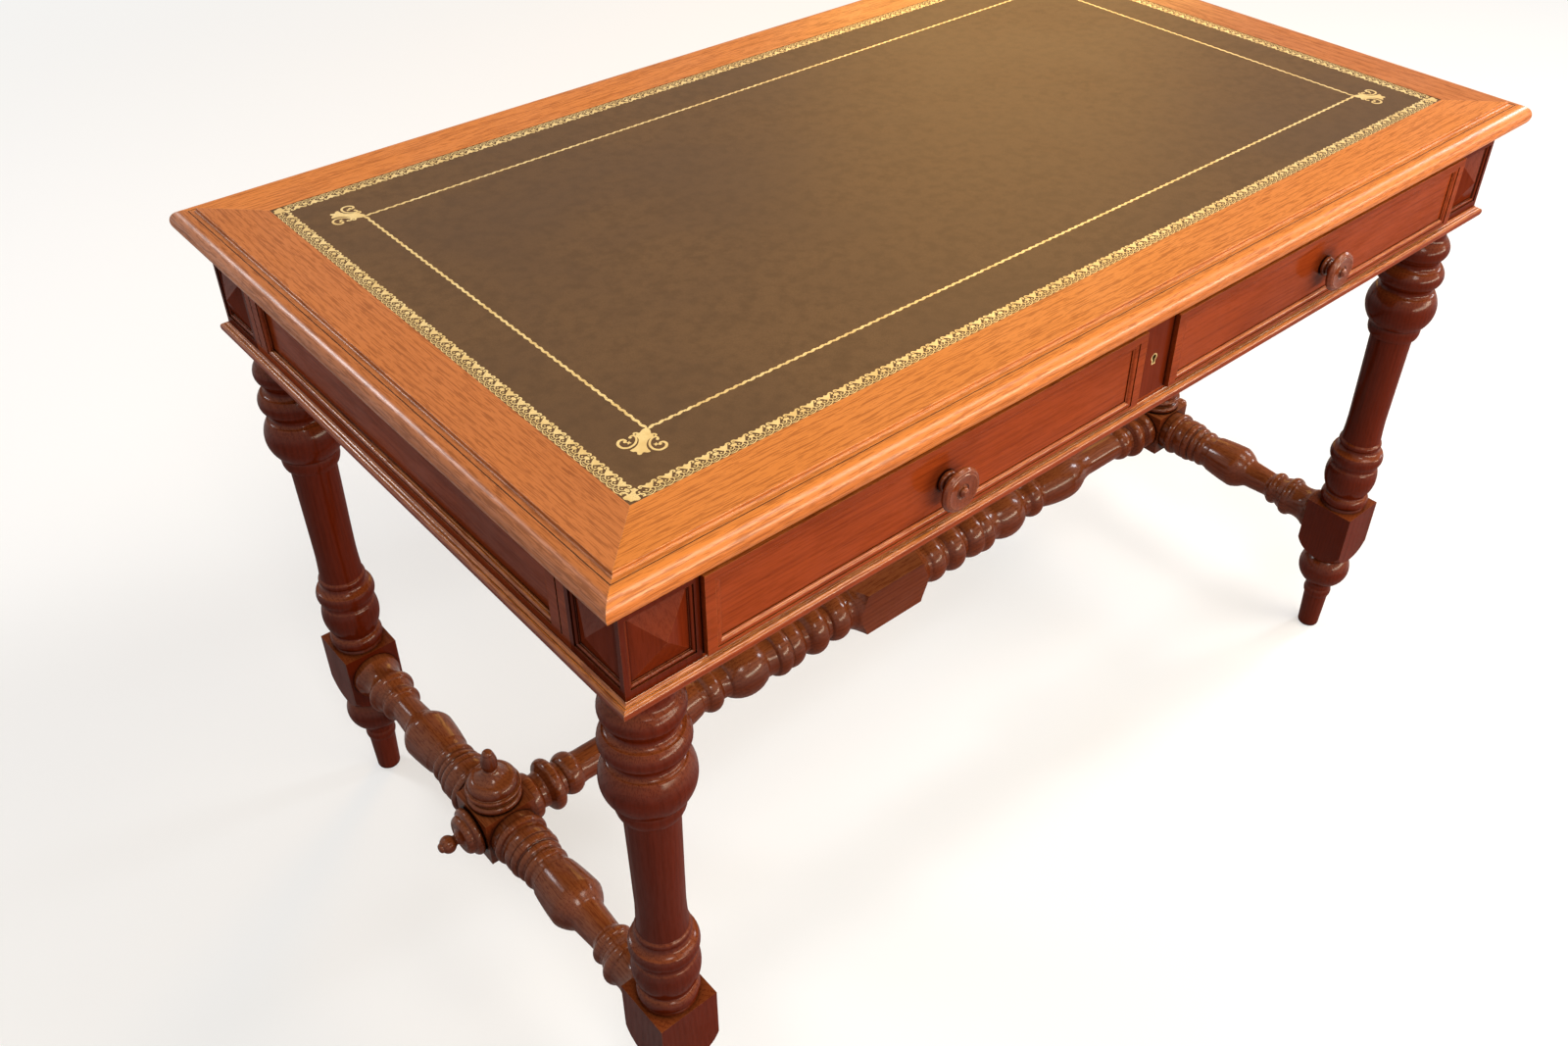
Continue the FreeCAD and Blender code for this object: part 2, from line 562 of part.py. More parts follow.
def make_end_rails():
    tenon_bottom = FRIEZE_BOTTOM + TENON_SHOULDER
    tenon_top = FRIEZE_TOP - TENON_SHOULDER
    tenon_middle = FRIEZE_X - RAIL_THICKNESS / 2
    tenon_reach = POST_INNER_Y + TENON_LENGTH
    rail = box(RAIL_INNER_X, FRIEZE_X, -POST_INNER_Y, POST_INNER_Y, FRIEZE_BOTTOM, FRIEZE_TOP)
    tenons = box(tenon_middle - TENON_THICKNESS / 2, tenon_middle + TENON_THICKNESS / 2,
                 -tenon_reach, tenon_reach, tenon_bottom, tenon_top)
    half_panel = POST_INNER_Y - END_PANEL_MARGIN
    place = Vec(FRIEZE_X, 0, PANEL_MIDDLE)
    rail = joined([rail, tenons]).cut(long_panel_recess(half_panel, 1, place))
    for side in (-1, 1):
        quirk_middle = side * (POST_INNER_Y - QUIRK_SETBACK)
        rail = rail.cut(box(FRIEZE_X - QUIRK_DEPTH, FRIEZE_X, quirk_middle - QUIRK_WIDTH / 2,
                            quirk_middle + QUIRK_WIDTH / 2, PANEL_BOTTOM, PANEL_TOP))
    strips = long_panel_strips(half_panel, 1, place)
    parts["end_rail_right"] = rail
    parts["end_rail_left"] = mirrored(rail, AXIS_X)
    parts["end_moulding_right"] = strips
    parts["end_moulding_left"] = mirrored(strips, AXIS_X)
    for name in ("leg_front_right", "leg_back_right"):
        parts[name] = parts[name].cut(tenons)
    for name in ("leg_front_left", "leg_back_left"):
        parts[name] = parts[name].cut(mirrored(tenons, AXIS_X))


def make_back_rail():
    tenon_middle = FRIEZE_Y - RAIL_THICKNESS / 2
    tenon_reach = POST_INNER_X + TENON_LENGTH
    rail = box(-POST_INNER_X, POST_INNER_X, RAIL_INNER_Y, FRIEZE_Y, FRIEZE_BOTTOM, FRIEZE_TOP)
    tenons = box(-tenon_reach, tenon_reach, tenon_middle - TENON_THICKNESS / 2,
                 tenon_middle + TENON_THICKNESS / 2, FRIEZE_BOTTOM + TENON_SHOULDER,
                 FRIEZE_TOP - TENON_SHOULDER)
    half_panel = POST_INNER_X - END_PANEL_MARGIN
    place = Vec(0, FRIEZE_Y, PANEL_MIDDLE)
    rail = joined([rail, tenons]).cut(long_panel_recess(half_panel, 2, place))
    parts["back_rail"] = rail
    parts["back_moulding"] = long_panel_strips(half_panel, 2, place)
    for name in ("leg_back_left", "leg_back_right"):
        parts[name] = parts[name].cut(tenons)


def make_front_rails():
    """The rails over and under the drawers, with tenons in the front posts."""
    tenon_front = -FRIEZE_Y + TENON_SHOULDER
    tenon_back = RAIL_BACK_Y - TENON_SHOULDER
    reach = POST_INNER_X + TENON_LENGTH
    rows = (("front_top_rail", OPENING_TOP, FRIEZE_TOP),
            ("front_bottom_rail", FRIEZE_BOTTOM, OPENING_BOTTOM))
    for name, low, high in rows:
        middle = (low + high) / 2
        rail = box(-POST_INNER_X, POST_INNER_X, -FRIEZE_Y, RAIL_BACK_Y, low, high)
        tenons = box(-reach, reach, tenon_front, tenon_back,
                     middle - RAIL_TENON_THICKNESS / 2, middle + RAIL_TENON_THICKNESS / 2)
        parts[name] = joined([rail, tenons])
        for leg in ("leg_front_left", "leg_front_right"):
            parts[leg] = parts[leg].cut(tenons)


def keyhole(radius, slot_width, length, depth):
    """A keyhole's solid: round above and a slot below, facing -Y."""
    eye = rod(radius, depth, ORIGIN, AXIS_Y)
    slot = box(-slot_width / 2, slot_width / 2, 0, depth, radius - length, 0)
    return joined([eye, slot])


def make_centre_stile():
    half = STILE_WIDTH / 2
    front = -FRIEZE_Y
    stile = box(-half, half, front, STILE_BACK_Y, OPENING_BOTTOM, OPENING_TOP)
    stub = box(-half + STUB_TENON_LENGTH, half - STUB_TENON_LENGTH, front + STUB_TENON_LENGTH,
               STILE_BACK_Y - STUB_TENON_LENGTH, OPENING_BOTTOM - STUB_TENON_LENGTH,
               OPENING_TOP + STUB_TENON_LENGTH)
    stile = joined([stile, stub])
    for name in ("front_top_rail", "front_bottom_rail"):
        parts[name] = parts[name].cut(stub)
    pocket = box(-LOCK_WIDTH / 2, LOCK_WIDTH / 2, LOCK_FRONT_Y, STILE_BACK_Y,
                 LOCK_Z - LOCK_HEIGHT / 2, LOCK_Z + LOCK_HEIGHT / 2)
    bolt_way = box(-half, half, BOLT_FRONT_Y - BOLT_GAP, BOLT_BACK_Y + BOLT_GAP,
                   LOCK_Z - BOLT_HEIGHT / 2 - BOLT_GAP, LOCK_Z + BOLT_HEIGHT / 2 + BOLT_GAP)
    hole = keyhole(KEYHOLE_RADIUS, KEYHOLE_SLOT_WIDTH, KEYHOLE_LENGTH, LOCK_WALL)
    rim = keyhole(KEYHOLE_RADIUS + ESCUTCHEON_RIM, KEYHOLE_SLOT_WIDTH + 2 * ESCUTCHEON_RIM,
                  KEYHOLE_LENGTH + 2 * ESCUTCHEON_RIM, ESCUTCHEON_THICKNESS)
    at_lock = Vec(0, front, LOCK_Z)
    hole.translate(at_lock)
    rim.translate(at_lock)
    parts["centre_stile"] = stile.cut([pocket, bolt_way, hole, rim])
    parts["keyhole_escutcheon"] = rim.cut(hole)


# Base moulding round the foot of the frieze
def make_base_moulding():
    edges = moulding_section(BASE_SHARES, BASE_MOULDING_PROUD, BASE_MOULDING_HEIGHT, 0)
    strips = mitred_frame(FRIEZE_X, FRIEZE_Y, BASE_MOULDING_PROUD, BASE_MOULDING_HEIGHT, edges)
    for side, strip in zip(("front", "right", "back", "left"), strips):
        strip.translate(Vec(0, 0, FRIEZE_BOTTOM))
        parts["base_moulding_" + side] = strip


# Runners under the drawers, kickers over them, glue blocks and the top's screws
def make_drawer_guides():
    centre_half = SIDE_INNER_X + DRAWER_SIDE_THICKNESS + RUNNER_REACH - DRAWER_SIDE_INSET
    base = box(-centre_half, centre_half, RAIL_BACK_Y, RAIL_INNER_Y, FRIEZE_BOTTOM, OPENING_BOTTOM)
    guide_half = SIDE_INNER_X - RUNNING_GAP
    guide = box(-guide_half, guide_half, RAIL_BACK_Y, RAIL_INNER_Y, OPENING_BOTTOM,
                OPENING_BOTTOM + GUIDE_HEIGHT)
    parts["runner_centre"] = joined([base, guide])
    inner = SIDE_OUTER_X - RUNNER_REACH
    shelf = box(inner, RAIL_INNER_X, -POST_INNER_Y, POST_INNER_Y, FRIEZE_BOTTOM, OPENING_BOTTOM)
    nose = box(inner, POST_INNER_X, RAIL_BACK_Y, -POST_INNER_Y, FRIEZE_BOTTOM, OPENING_BOTTOM)
    fence = box(SIDE_OUTER_X + RUNNING_GAP, RAIL_INNER_X, -POST_INNER_Y, POST_INNER_Y,
                OPENING_BOTTOM, OPENING_BOTTOM + GUIDE_HEIGHT)
    parts["runner_right"] = joined([shelf, nose, fence])
    parts["runner_left"] = mirrored(parts["runner_right"], AXIS_X)
    kicker_centre = box(-centre_half, centre_half, RAIL_BACK_Y, RAIL_INNER_Y, OPENING_TOP, FRIEZE_TOP)
    kicker_right = box(inner, RAIL_INNER_X, -POST_INNER_Y, POST_INNER_Y, OPENING_TOP, FRIEZE_TOP)
    kickers = [kicker_centre, kicker_right, mirrored(kicker_right, AXIS_X)]
    screws = []
    blank = screw(TOP_SCREW_RADIUS, TOP_RAIL_THICKNESS + TOP_SCREW_BITE - SCREW_HEAD_HEIGHT,
                  SCREW_HEAD_RADIUS, SCREW_HEAD_HEIGHT, SCREW_SLOT_WIDTH, SCREW_SLOT_DEPTH)
    for place in top_screw_places():
        seat = Vec(place.x, place.y, OPENING_TOP + SCREW_HEAD_HEIGHT)
        hole = rod(TOP_SCREW_RADIUS, TOP_RAIL_THICKNESS, Vec(place.x, place.y, OPENING_TOP), AXIS_Z)
        sink = rod(SCREW_HEAD_RADIUS, SCREW_HEAD_HEIGHT, Vec(place.x, place.y, OPENING_TOP), AXIS_Z)
        kickers = [kicker.cut([hole, sink]) for kicker in kickers]
        screws.append(aimed(blank, seat, Vec(0, 0, -1)))
    parts["drawer_kickers"] = Part.makeCompound([kicker.Solids[0] for kicker in kickers])
    parts["top_screws"] = Part.makeCompound(screws)


def make_glue_blocks():
    """Three-cornered blocks in the angle of the back rail and the top."""
    corners = [ORIGIN, Vec(0, -GLUE_BLOCK_SIDE, 0), Vec(0, 0, -GLUE_BLOCK_SIDE)]
    face = Part.Face(Part.makePolygon(corners + corners[:1]))
    blocks = []
    for index in range(GLUE_BLOCK_COUNT):
        share = (index + 0.5) / GLUE_BLOCK_COUNT
        start_x = -POST_INNER_X + 2 * POST_INNER_X * share - GLUE_BLOCK_LENGTH / 2
        block = face.extrude(Vec(GLUE_BLOCK_LENGTH, 0, 0))
        block.translate(Vec(start_x, RAIL_INNER_Y, FRIEZE_TOP))
        blocks.append(block)
    parts["glue_blocks"] = Part.makeCompound(blocks)


# Stretchers and their finials
def make_side_stretcher():
    """The left side stretcher, along Y, with its square crossing block in the middle."""
    half_block = CROSS_BLOCK_WIDTH / 2
    centre = Vec(-LEG_X, 0, STRETCHER_AXIS_HEIGHT)
    arm_length = LEG_Y - LEG_BLOCK_WIDTH / 2 - half_block
    arm = turning(SIDE_TURNING_SHARES, arm_length, SIDE_STRETCHER_RADIUS)
    tenon = rod(ROUND_TENON_RADIUS, arm_length + ROUND_TENON_LENGTH, ORIGIN, AXIS_Z)
    block = Part.makeBox(CROSS_BLOCK_WIDTH, CROSS_BLOCK_WIDTH, CROSS_BLOCK_WIDTH,
                         centre - Vec(half_block, half_block, half_block))
    pieces = [block]
    for direction in (Vec(0, -1, 0), AXIS_Y):
        base = centre + direction * half_block
        pieces.append(aimed(arm, base, direction))
        tenon_here = aimed(tenon, base, direction)
        pieces.append(tenon_here)
        name = "leg_front_left" if direction.y < 0 else "leg_back_left"
        other = "leg_front_right" if direction.y < 0 else "leg_back_right"
        parts[name] = parts[name].cut(tenon_here)
        parts[other] = parts[other].cut(mirrored(tenon_here, AXIS_X))
    return joined(pieces)


def make_finial(shares, length, radius):
    """A turned finial on the origin with a dowel below it."""
    dowel = rod(DOWEL_RADIUS, DOWEL_LENGTH, Vec(0, 0, -DOWEL_LENGTH), AXIS_Z)
    return joined([turning(shares, length, radius), dowel])


def make_stretchers():
    half_cross = CROSS_BLOCK_WIDTH / 2
    left = make_side_stretcher()
    top_place = Vec(-LEG_X, 0, STRETCHER_AXIS_HEIGHT + half_cross)
    outer_place = Vec(-LEG_X - half_cross, 0, STRETCHER_AXIS_HEIGHT)
    inner_place = Vec(-LEG_X + half_cross, 0, STRETCHER_AXIS_HEIGHT)
    top_finial = aimed(make_finial(TOP_FINIAL_SHARES, TOP_FINIAL_LENGTH, TOP_FINIAL_RADIUS),
                       top_place, AXIS_Z)
    outer_finial = aimed(make_finial(OUTER_FINIAL_SHARES, OUTER_FINIAL_LENGTH, OUTER_FINIAL_RADIUS),
                         outer_place, Vec(-1, 0, 0))
    tenon = rod(ROUND_TENON_RADIUS, ROUND_TENON_LENGTH, inner_place, Vec(-1, 0, 0))
    left = left.cut([top_finial, outer_finial, tenon])
    parts["side_stretcher_left"] = left
    parts["side_stretcher_right"] = mirrored(left, AXIS_X)
    parts["top_finial_left"] = top_finial
    parts["top_finial_right"] = mirrored(top_finial, AXIS_X)
    parts["outer_finial_left"] = outer_finial
    parts["outer_finial_right"] = mirrored(outer_finial, AXIS_X)

    axis_centre = Vec(0, 0, STRETCHER_AXIS_HEIGHT)
    half_straight = CENTRE_BLOCK_LENGTH / 2
    shoulder_end = half_straight + CENTRE_SHOULDER_LENGTH
    neck_radius = LONG_TURNING_SHARES[0][1] * LONG_STRETCHER_RADIUS
    block = squared_block(CENTRE_BLOCK_WIDTH, half_straight, CENTRE_SHOULDER_LENGTH,
                          neck_radius, CENTRE_SHOULDER_SWELL_SHARE)
    arm_length = LEG_X - half_cross - shoulder_end
    arm = turning(LONG_TURNING_SHARES, arm_length, LONG_STRETCHER_RADIUS)
    end_tenon = rod(ROUND_TENON_RADIUS, arm_length + ROUND_TENON_LENGTH, ORIGIN, AXIS_Z)
    pieces = []
    for direction in (AXIS_X, Vec(-1, 0, 0)):
        pieces.append(aimed(block, axis_centre, direction))
        pieces.append(aimed(arm, axis_centre + direction * shoulder_end, direction))
        pieces.append(aimed(end_tenon, axis_centre + direction * shoulder_end, direction))
    parts["long_stretcher"] = joined(pieces)


# Drawers, made for the right side and mirrored for the left
def dovetails(side_x0, side_x1):
    """Tails on a drawer side's front end, which the front board's sockets follow."""
    pitch = SIDE_HEIGHT / DOVETAIL_COUNT
    tails = []
    for index in range(DOVETAIL_COUNT):
        middle = SIDE_BOTTOM + pitch * (index + 0.5)
        root_half = DOVETAIL_ROOT_WIDTH / 2
        tip_half = root_half + DOVETAIL_FLARE
        tip_y = FRONT_BACK_Y - DOVETAIL_LENGTH
        corners = [Vec(side_x0, FRONT_BACK_Y, middle - root_half),
                   Vec(side_x0, FRONT_BACK_Y, middle + root_half),
                   Vec(side_x0, tip_y, middle + tip_half),
                   Vec(side_x0, tip_y, middle - tip_half)]
        face = Part.Face(Part.makePolygon(corners + corners[:1]))
        tails.append(face.extrude(Vec(side_x1 - side_x0, 0, 0)))
    return tails


def make_drawer():
    """The right drawer's pieces by name."""
    drawer = {}
    sides = {"side_inner": (SIDE_INNER_X, SIDE_INNER_X + DRAWER_SIDE_THICKNESS),
             "side_outer": (SIDE_OUTER_X - DRAWER_SIDE_THICKNESS, SIDE_OUTER_X)}
    front = box(DRAWER_INNER_X, DRAWER_OUTER_X, DRAWER_FACE_Y, FRONT_BACK_Y,
                DRAWER_FRONT_BOTTOM, DRAWER_FRONT_TOP)
    bottom = box(SIDE_INNER_X + DRAWER_SIDE_THICKNESS - DRAWER_GROOVE_DEPTH,
                 SIDE_OUTER_X - DRAWER_SIDE_THICKNESS + DRAWER_GROOVE_DEPTH,
                 FRONT_BACK_Y - DRAWER_GROOVE_DEPTH, DRAWER_REAR_Y, BOTTOM_LOW, BOTTOM_HIGH)
    back = box(SIDE_INNER_X + DRAWER_SIDE_THICKNESS - DRAWER_GROOVE_DEPTH,
               SIDE_OUTER_X - DRAWER_SIDE_THICKNESS + DRAWER_GROOVE_DEPTH,
               BACK_FRONT_Y, BACK_FRONT_Y + DRAWER_BACK_THICKNESS,
               BOTTOM_HIGH, SIDE_TOP - DRAWER_BACK_DROP)
    for name, (x0, x1) in sides.items():
        board = box(x0, x1, FRONT_BACK_Y, DRAWER_REAR_Y, SIDE_BOTTOM, SIDE_TOP)
        tails = dovetails(x0, x1)
        front = front.cut(tails)
        drawer[name] = joined([board] + tails).cut([bottom, back])
    drawer["bottom"] = bottom
    drawer["back"] = back

    half_panel_x = DRAWER_WIDTH / 2 - DRAWER_PANEL_END_MARGIN
    half_panel_z = DRAWER_PANEL_HEIGHT / 2
    panel_place = Vec(DRAWER_MIDDLE_X, DRAWER_FACE_Y, DRAWER_PANEL_MIDDLE)
    recess = box(-half_panel_x, half_panel_x, -half_panel_z, half_panel_z, -DRAWER_PANEL_DEPTH, 0)
    strips = strip_frame(half_panel_x, half_panel_z, DRAWER_STRIP_WIDTH, DRAWER_STRIP_HEIGHT)
    for strip in strips:
        strip.translate(Vec(0, 0, -DRAWER_PANEL_DEPTH))
    drawer["moulding"] = Part.makeCompound([on_face(strip, 0, panel_place) for strip in strips])

    bolt_mortise = box(DRAWER_INNER_X, DRAWER_INNER_X + BOLT_TRAVEL + RUNNING_GAP,
                       BOLT_FRONT_Y - RUNNING_GAP, BOLT_BACK_Y + RUNNING_GAP,
                       LOCK_Z - BOLT_HEIGHT / 2 - RUNNING_GAP, LOCK_Z + BOLT_HEIGHT / 2 + RUNNING_GAP)
    knob_place = Vec(DRAWER_MIDDLE_X, DRAWER_FIELD_Y, DRAWER_PANEL_MIDDLE)
    board_left = DRAWER_FRONT_THICKNESS - DRAWER_PANEL_DEPTH
    knob_screw = aimed(screw(KNOB_SCREW_RADIUS, board_left + KNOB_SCREW_GRIP, SCREW_HEAD_RADIUS,
                             SCREW_HEAD_HEIGHT, SCREW_SLOT_WIDTH, SCREW_SLOT_DEPTH),
                       Vec(DRAWER_MIDDLE_X, FRONT_BACK_Y, DRAWER_PANEL_MIDDLE), AXIS_Y)
    front = front.cut([on_face(recess, 0, panel_place), bottom, bolt_mortise, knob_screw])
    knob = aimed(turning(KNOB_SHARES, KNOB_LENGTH, KNOB_RADIUS), knob_place, Vec(0, -1, 0))
    drawer["front"] = front
    drawer["knob"] = knob.cut(knob_screw)
    drawer["knob_screw"] = knob_screw
    return drawer


def make_drawers():
    for name, piece in make_drawer().items():
        parts["drawer_right_" + name] = piece
        parts["drawer_left_" + name] = mirrored(piece, AXIS_X)


# The lock: a case, a hub that the key turns, and a bolt for each drawer
def make_lock():
    half_width = LOCK_WIDTH / 2
    half_height = LOCK_HEIGHT / 2
    case = box(-half_width, half_width, LOCK_FRONT_Y, STILE_BACK_Y,
               LOCK_Z - half_height, LOCK_Z + half_height)
    plate = box(-half_width, half_width, STILE_BACK_Y, STILE_BACK_Y + LOCK_PLATE_THICKNESS,
                LOCK_Z - half_height - LOCK_PLATE_LAP, LOCK_Z + half_height + LOCK_PLATE_LAP)
    bolt_way = box(-half_width, half_width, BOLT_FRONT_Y - BOLT_GAP, BOLT_BACK_Y + BOLT_GAP,
                   LOCK_Z - BOLT_HEIGHT / 2 - BOLT_GAP, LOCK_Z + BOLT_HEIGHT / 2 + BOLT_GAP)
    hub_length = STILE_BACK_Y + LOCK_PLATE_THICKNESS - LOCK_FRONT_Y
    hub_way = rod(HUB_RADIUS + HUB_GAP, hub_length, Vec(0, LOCK_FRONT_Y, LOCK_Z), AXIS_Y)
    screws = []
    for end in (-1, 1):
        for side in (-1, 1):
            seat = Vec(side * half_width / 2, STILE_BACK_Y + LOCK_PLATE_THICKNESS,
                       LOCK_Z + end * (half_height + LOCK_PLATE_LAP / 2))
            blank = screw(LOCK_SCREW_RADIUS, LOCK_SCREW_LENGTH, LOCK_SCREW_HEAD_RADIUS,
                          LOCK_SCREW_HEAD_HEIGHT, SCREW_SLOT_WIDTH / 2, LOCK_SCREW_HEAD_HEIGHT / 2)
            screws.append(aimed(blank, seat, AXIS_Y))
    parts["centre_stile"] = parts["centre_stile"].cut(screws)
    parts["lock_case"] = joined([case, plate]).cut([bolt_way, hub_way] + screws)
    parts["lock_screws"] = Part.makeCompound(screws)
    hub_slot = box(-HUB_SLOT_WIDTH / 2, HUB_SLOT_WIDTH / 2, LOCK_FRONT_Y, LOCK_FRONT_Y + LOCK_WALL,
                   LOCK_Z - HUB_RADIUS, LOCK_Z)
    hub_start = LOCK_FRONT_Y + REST_GAP
    hub = rod(HUB_RADIUS, hub_length - REST_GAP, Vec(0, hub_start, LOCK_Z), AXIS_Y)
    parts["lock_hub"] = hub.cut(hub_slot)
    bolt_start = HUB_RADIUS + REST_GAP
    bolt = box(bolt_start, STILE_WIDTH / 2, BOLT_FRONT_Y, BOLT_BACK_Y,
               LOCK_Z - BOLT_HEIGHT / 2, LOCK_Z + BOLT_HEIGHT / 2)
    parts["lock_bolt_right"] = bolt
    parts["lock_bolt_left"] = mirrored(bolt, AXIS_X)


def main():
    make_top()
    make_legs()
    make_end_rails()
    make_back_rail()
    make_front_rails()
    make_centre_stile()
    make_base_moulding()
    make_drawer_guides()
    make_glue_blocks()
    make_stretchers()
    make_drawers()
    make_lock()
    os.makedirs("parts", exist_ok=True)
    for name, shape in sorted(parts.items()):
        shape.exportStep("parts/" + name + ".step")
        print(name, len(shape.Solids), round(shape.Volume), shape.isValid())
    print(len(parts), "nodes")


main()
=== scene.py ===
import logging
import math
from dataclasses import dataclass, field, replace
from enum import Enum

import bpy
from mathutils import Matrix, Vector
from mathutils.geometry import tessellate_polygon


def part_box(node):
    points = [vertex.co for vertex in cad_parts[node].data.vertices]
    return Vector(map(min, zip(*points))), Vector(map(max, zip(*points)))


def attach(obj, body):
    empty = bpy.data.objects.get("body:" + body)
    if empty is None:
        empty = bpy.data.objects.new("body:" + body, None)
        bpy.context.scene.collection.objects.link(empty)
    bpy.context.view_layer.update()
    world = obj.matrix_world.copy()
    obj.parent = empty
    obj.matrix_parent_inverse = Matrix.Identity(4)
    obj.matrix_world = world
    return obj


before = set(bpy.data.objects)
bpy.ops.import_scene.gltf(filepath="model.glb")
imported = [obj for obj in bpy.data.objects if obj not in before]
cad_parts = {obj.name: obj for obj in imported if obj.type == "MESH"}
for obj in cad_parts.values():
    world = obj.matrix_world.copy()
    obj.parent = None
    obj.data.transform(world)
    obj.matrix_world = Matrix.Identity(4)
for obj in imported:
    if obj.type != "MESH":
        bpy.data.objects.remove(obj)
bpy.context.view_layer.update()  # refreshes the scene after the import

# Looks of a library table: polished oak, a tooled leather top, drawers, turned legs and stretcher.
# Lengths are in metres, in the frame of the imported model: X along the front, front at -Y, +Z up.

LOG = logging.getLogger("library_table")
MM = 0.001
ROOT = "table"
BEVEL_SAMPLES = 4
OPENNESS_SAMPLES = 6
# The colour sockets of a Mix node, by their place in it.
MIX_AMOUNT, MIX_FIRST, MIX_SECOND, MIX_COLOUR = 0, 6, 7, 2

Colour = tuple[float, float, float]
Point = tuple[float, float]
Span = tuple[float, float]
Figure = tuple[float, float, float]

# Nearly all values of a noise lie in this range.
NOISE_SPAN: Span = (0.3, 0.7)
# How much finer noise is laid over a noise, and how strong it is in the finest.
MIDDLE_DETAIL, FINE_DETAIL, FINE_ROUGHNESS = 3.0, 4.0, 0.6


class Side(Enum):
    """The two halves of the table."""

    LEFT = "left"
    RIGHT = "right"


class Grain(Enum):
    """The axis that a piece's wood grain runs along, with the order of its three coordinates."""

    ALONG_X = ("X", "Y", "Z")
    ALONG_Y = ("Y", "X", "Z")
    ALONG_Z = ("Z", "X", "Y")


class Value:
    """A number that varies over a surface, whose maths adds nodes to its shader."""

    def __init__(self, shader: "NodeBench", socket: bpy.types.NodeSocket) -> None:
        """Wraps an output socket of a node on a bench."""
        self.shader = shader
        self.socket = socket

    def _math(self, operation: str, first: object, second: object = 0.0) -> "Value":
        """Adds one Math node.

        Args:
            operation: the node's operation.
            first: a number or a Value.
            second: a number or a Value.

        Returns:
            The node's result.
        """
        node = self.shader.add("ShaderNodeMath", {"operation": operation}, {0: first, 1: second})
        return Value(self.shader, node.outputs[0])

    def __add__(self, other: object) -> "Value":
        """Sum."""
        return self._math("ADD", self, other)

    __radd__ = __add__

    def __sub__(self, other: object) -> "Value":
        """Difference."""
        return self._math("SUBTRACT", self, other)

    def __rsub__(self, other: object) -> "Value":
        """Difference from a number."""
        return self._math("SUBTRACT", other, self)

    def __mul__(self, other: object) -> "Value":
        """Product."""
        return self._math("MULTIPLY", self, other)

    __rmul__ = __mul__

    def fraction(self) -> "Value":
        """The part after the decimal point."""
        return self._math("FRACT", self)

    def root(self) -> "Value":
        """Square root."""
        return self._math("SQRT", self)

    def greatest(self, other: object) -> "Value":
        """The larger of two values."""
        return self._math("MAXIMUM", self, other)

    def between(self, low: float, high: float, start: float = 0.0, end: float = 1.0) -> "Value":
        """Smooth step from one level to another.

        Args:
            low: where the step starts.
            high: where the step ends.
            start: the result at low.
            end: the result at high.

        Returns:
            The stepped value, held at its ends.
        """
        node = self.shader.add("ShaderNodeMapRange", {"interpolation_type": "SMOOTHSTEP"},
                               {"Value": self, "From Min": low, "From Max": high,
                                "To Min": start, "To Max": end})
        return Value(self.shader, node.outputs["Result"])


class NodeBench:
    """A node tree, and the one way that nodes are added to it."""

    def __init__(self, owner: bpy.types.ID) -> None:
        """Empties a node tree.

        Args:
            owner: the material or world that has the tree.
        """
        owner.use_nodes = True
        self.tree = owner.node_tree
        self.tree.nodes.clear()

    def add(self, kind: str, settings: dict[str, object],
            inputs: dict[str | int, object]) -> bpy.types.Node:
        """Adds a node, sets it, and fills its sockets.

        Args:
            kind: the node's type.
            settings: its properties by name, which are set first.
            inputs: numbers, colours, sockets or Values by socket name or number.

        Returns:
            The node.
        """
        node = self.tree.nodes.new(kind)
        for key, value in settings.items():
            setattr(node, key, value)
        for key, value in inputs.items():
            self.feed(node.inputs[key], value)
        return node

    def seen(self) -> Value:
        """Tells what is looked at from what only lights.

        Returns:
            One for rays of the camera, of polish and of clear parts, and zero for plain light.
        """
        path = self.add("ShaderNodeLightPath", {}, {})
        camera, shiny, clear = (Value(self, path.outputs[name]) for name in
                                ("Is Camera Ray", "Is Glossy Ray", "Is Transmission Ray"))
        return camera.greatest(shiny).greatest(clear)

    def feed(self, socket: bpy.types.NodeSocket, value: object) -> None:
        """Links a Value or socket into a socket, or sets a plain number or colour there.

        Args:
            socket: the input socket.
            value: what it gets.
        """
        if isinstance(value, Value):
            self.tree.links.new(value.socket, socket)
        elif isinstance(value, bpy.types.NodeSocket):
            self.tree.links.new(value, socket)
        elif isinstance(value, tuple) and socket.type == "RGBA":
            socket.default_value = (*value, 1.0)
        else:
            socket.default_value = value


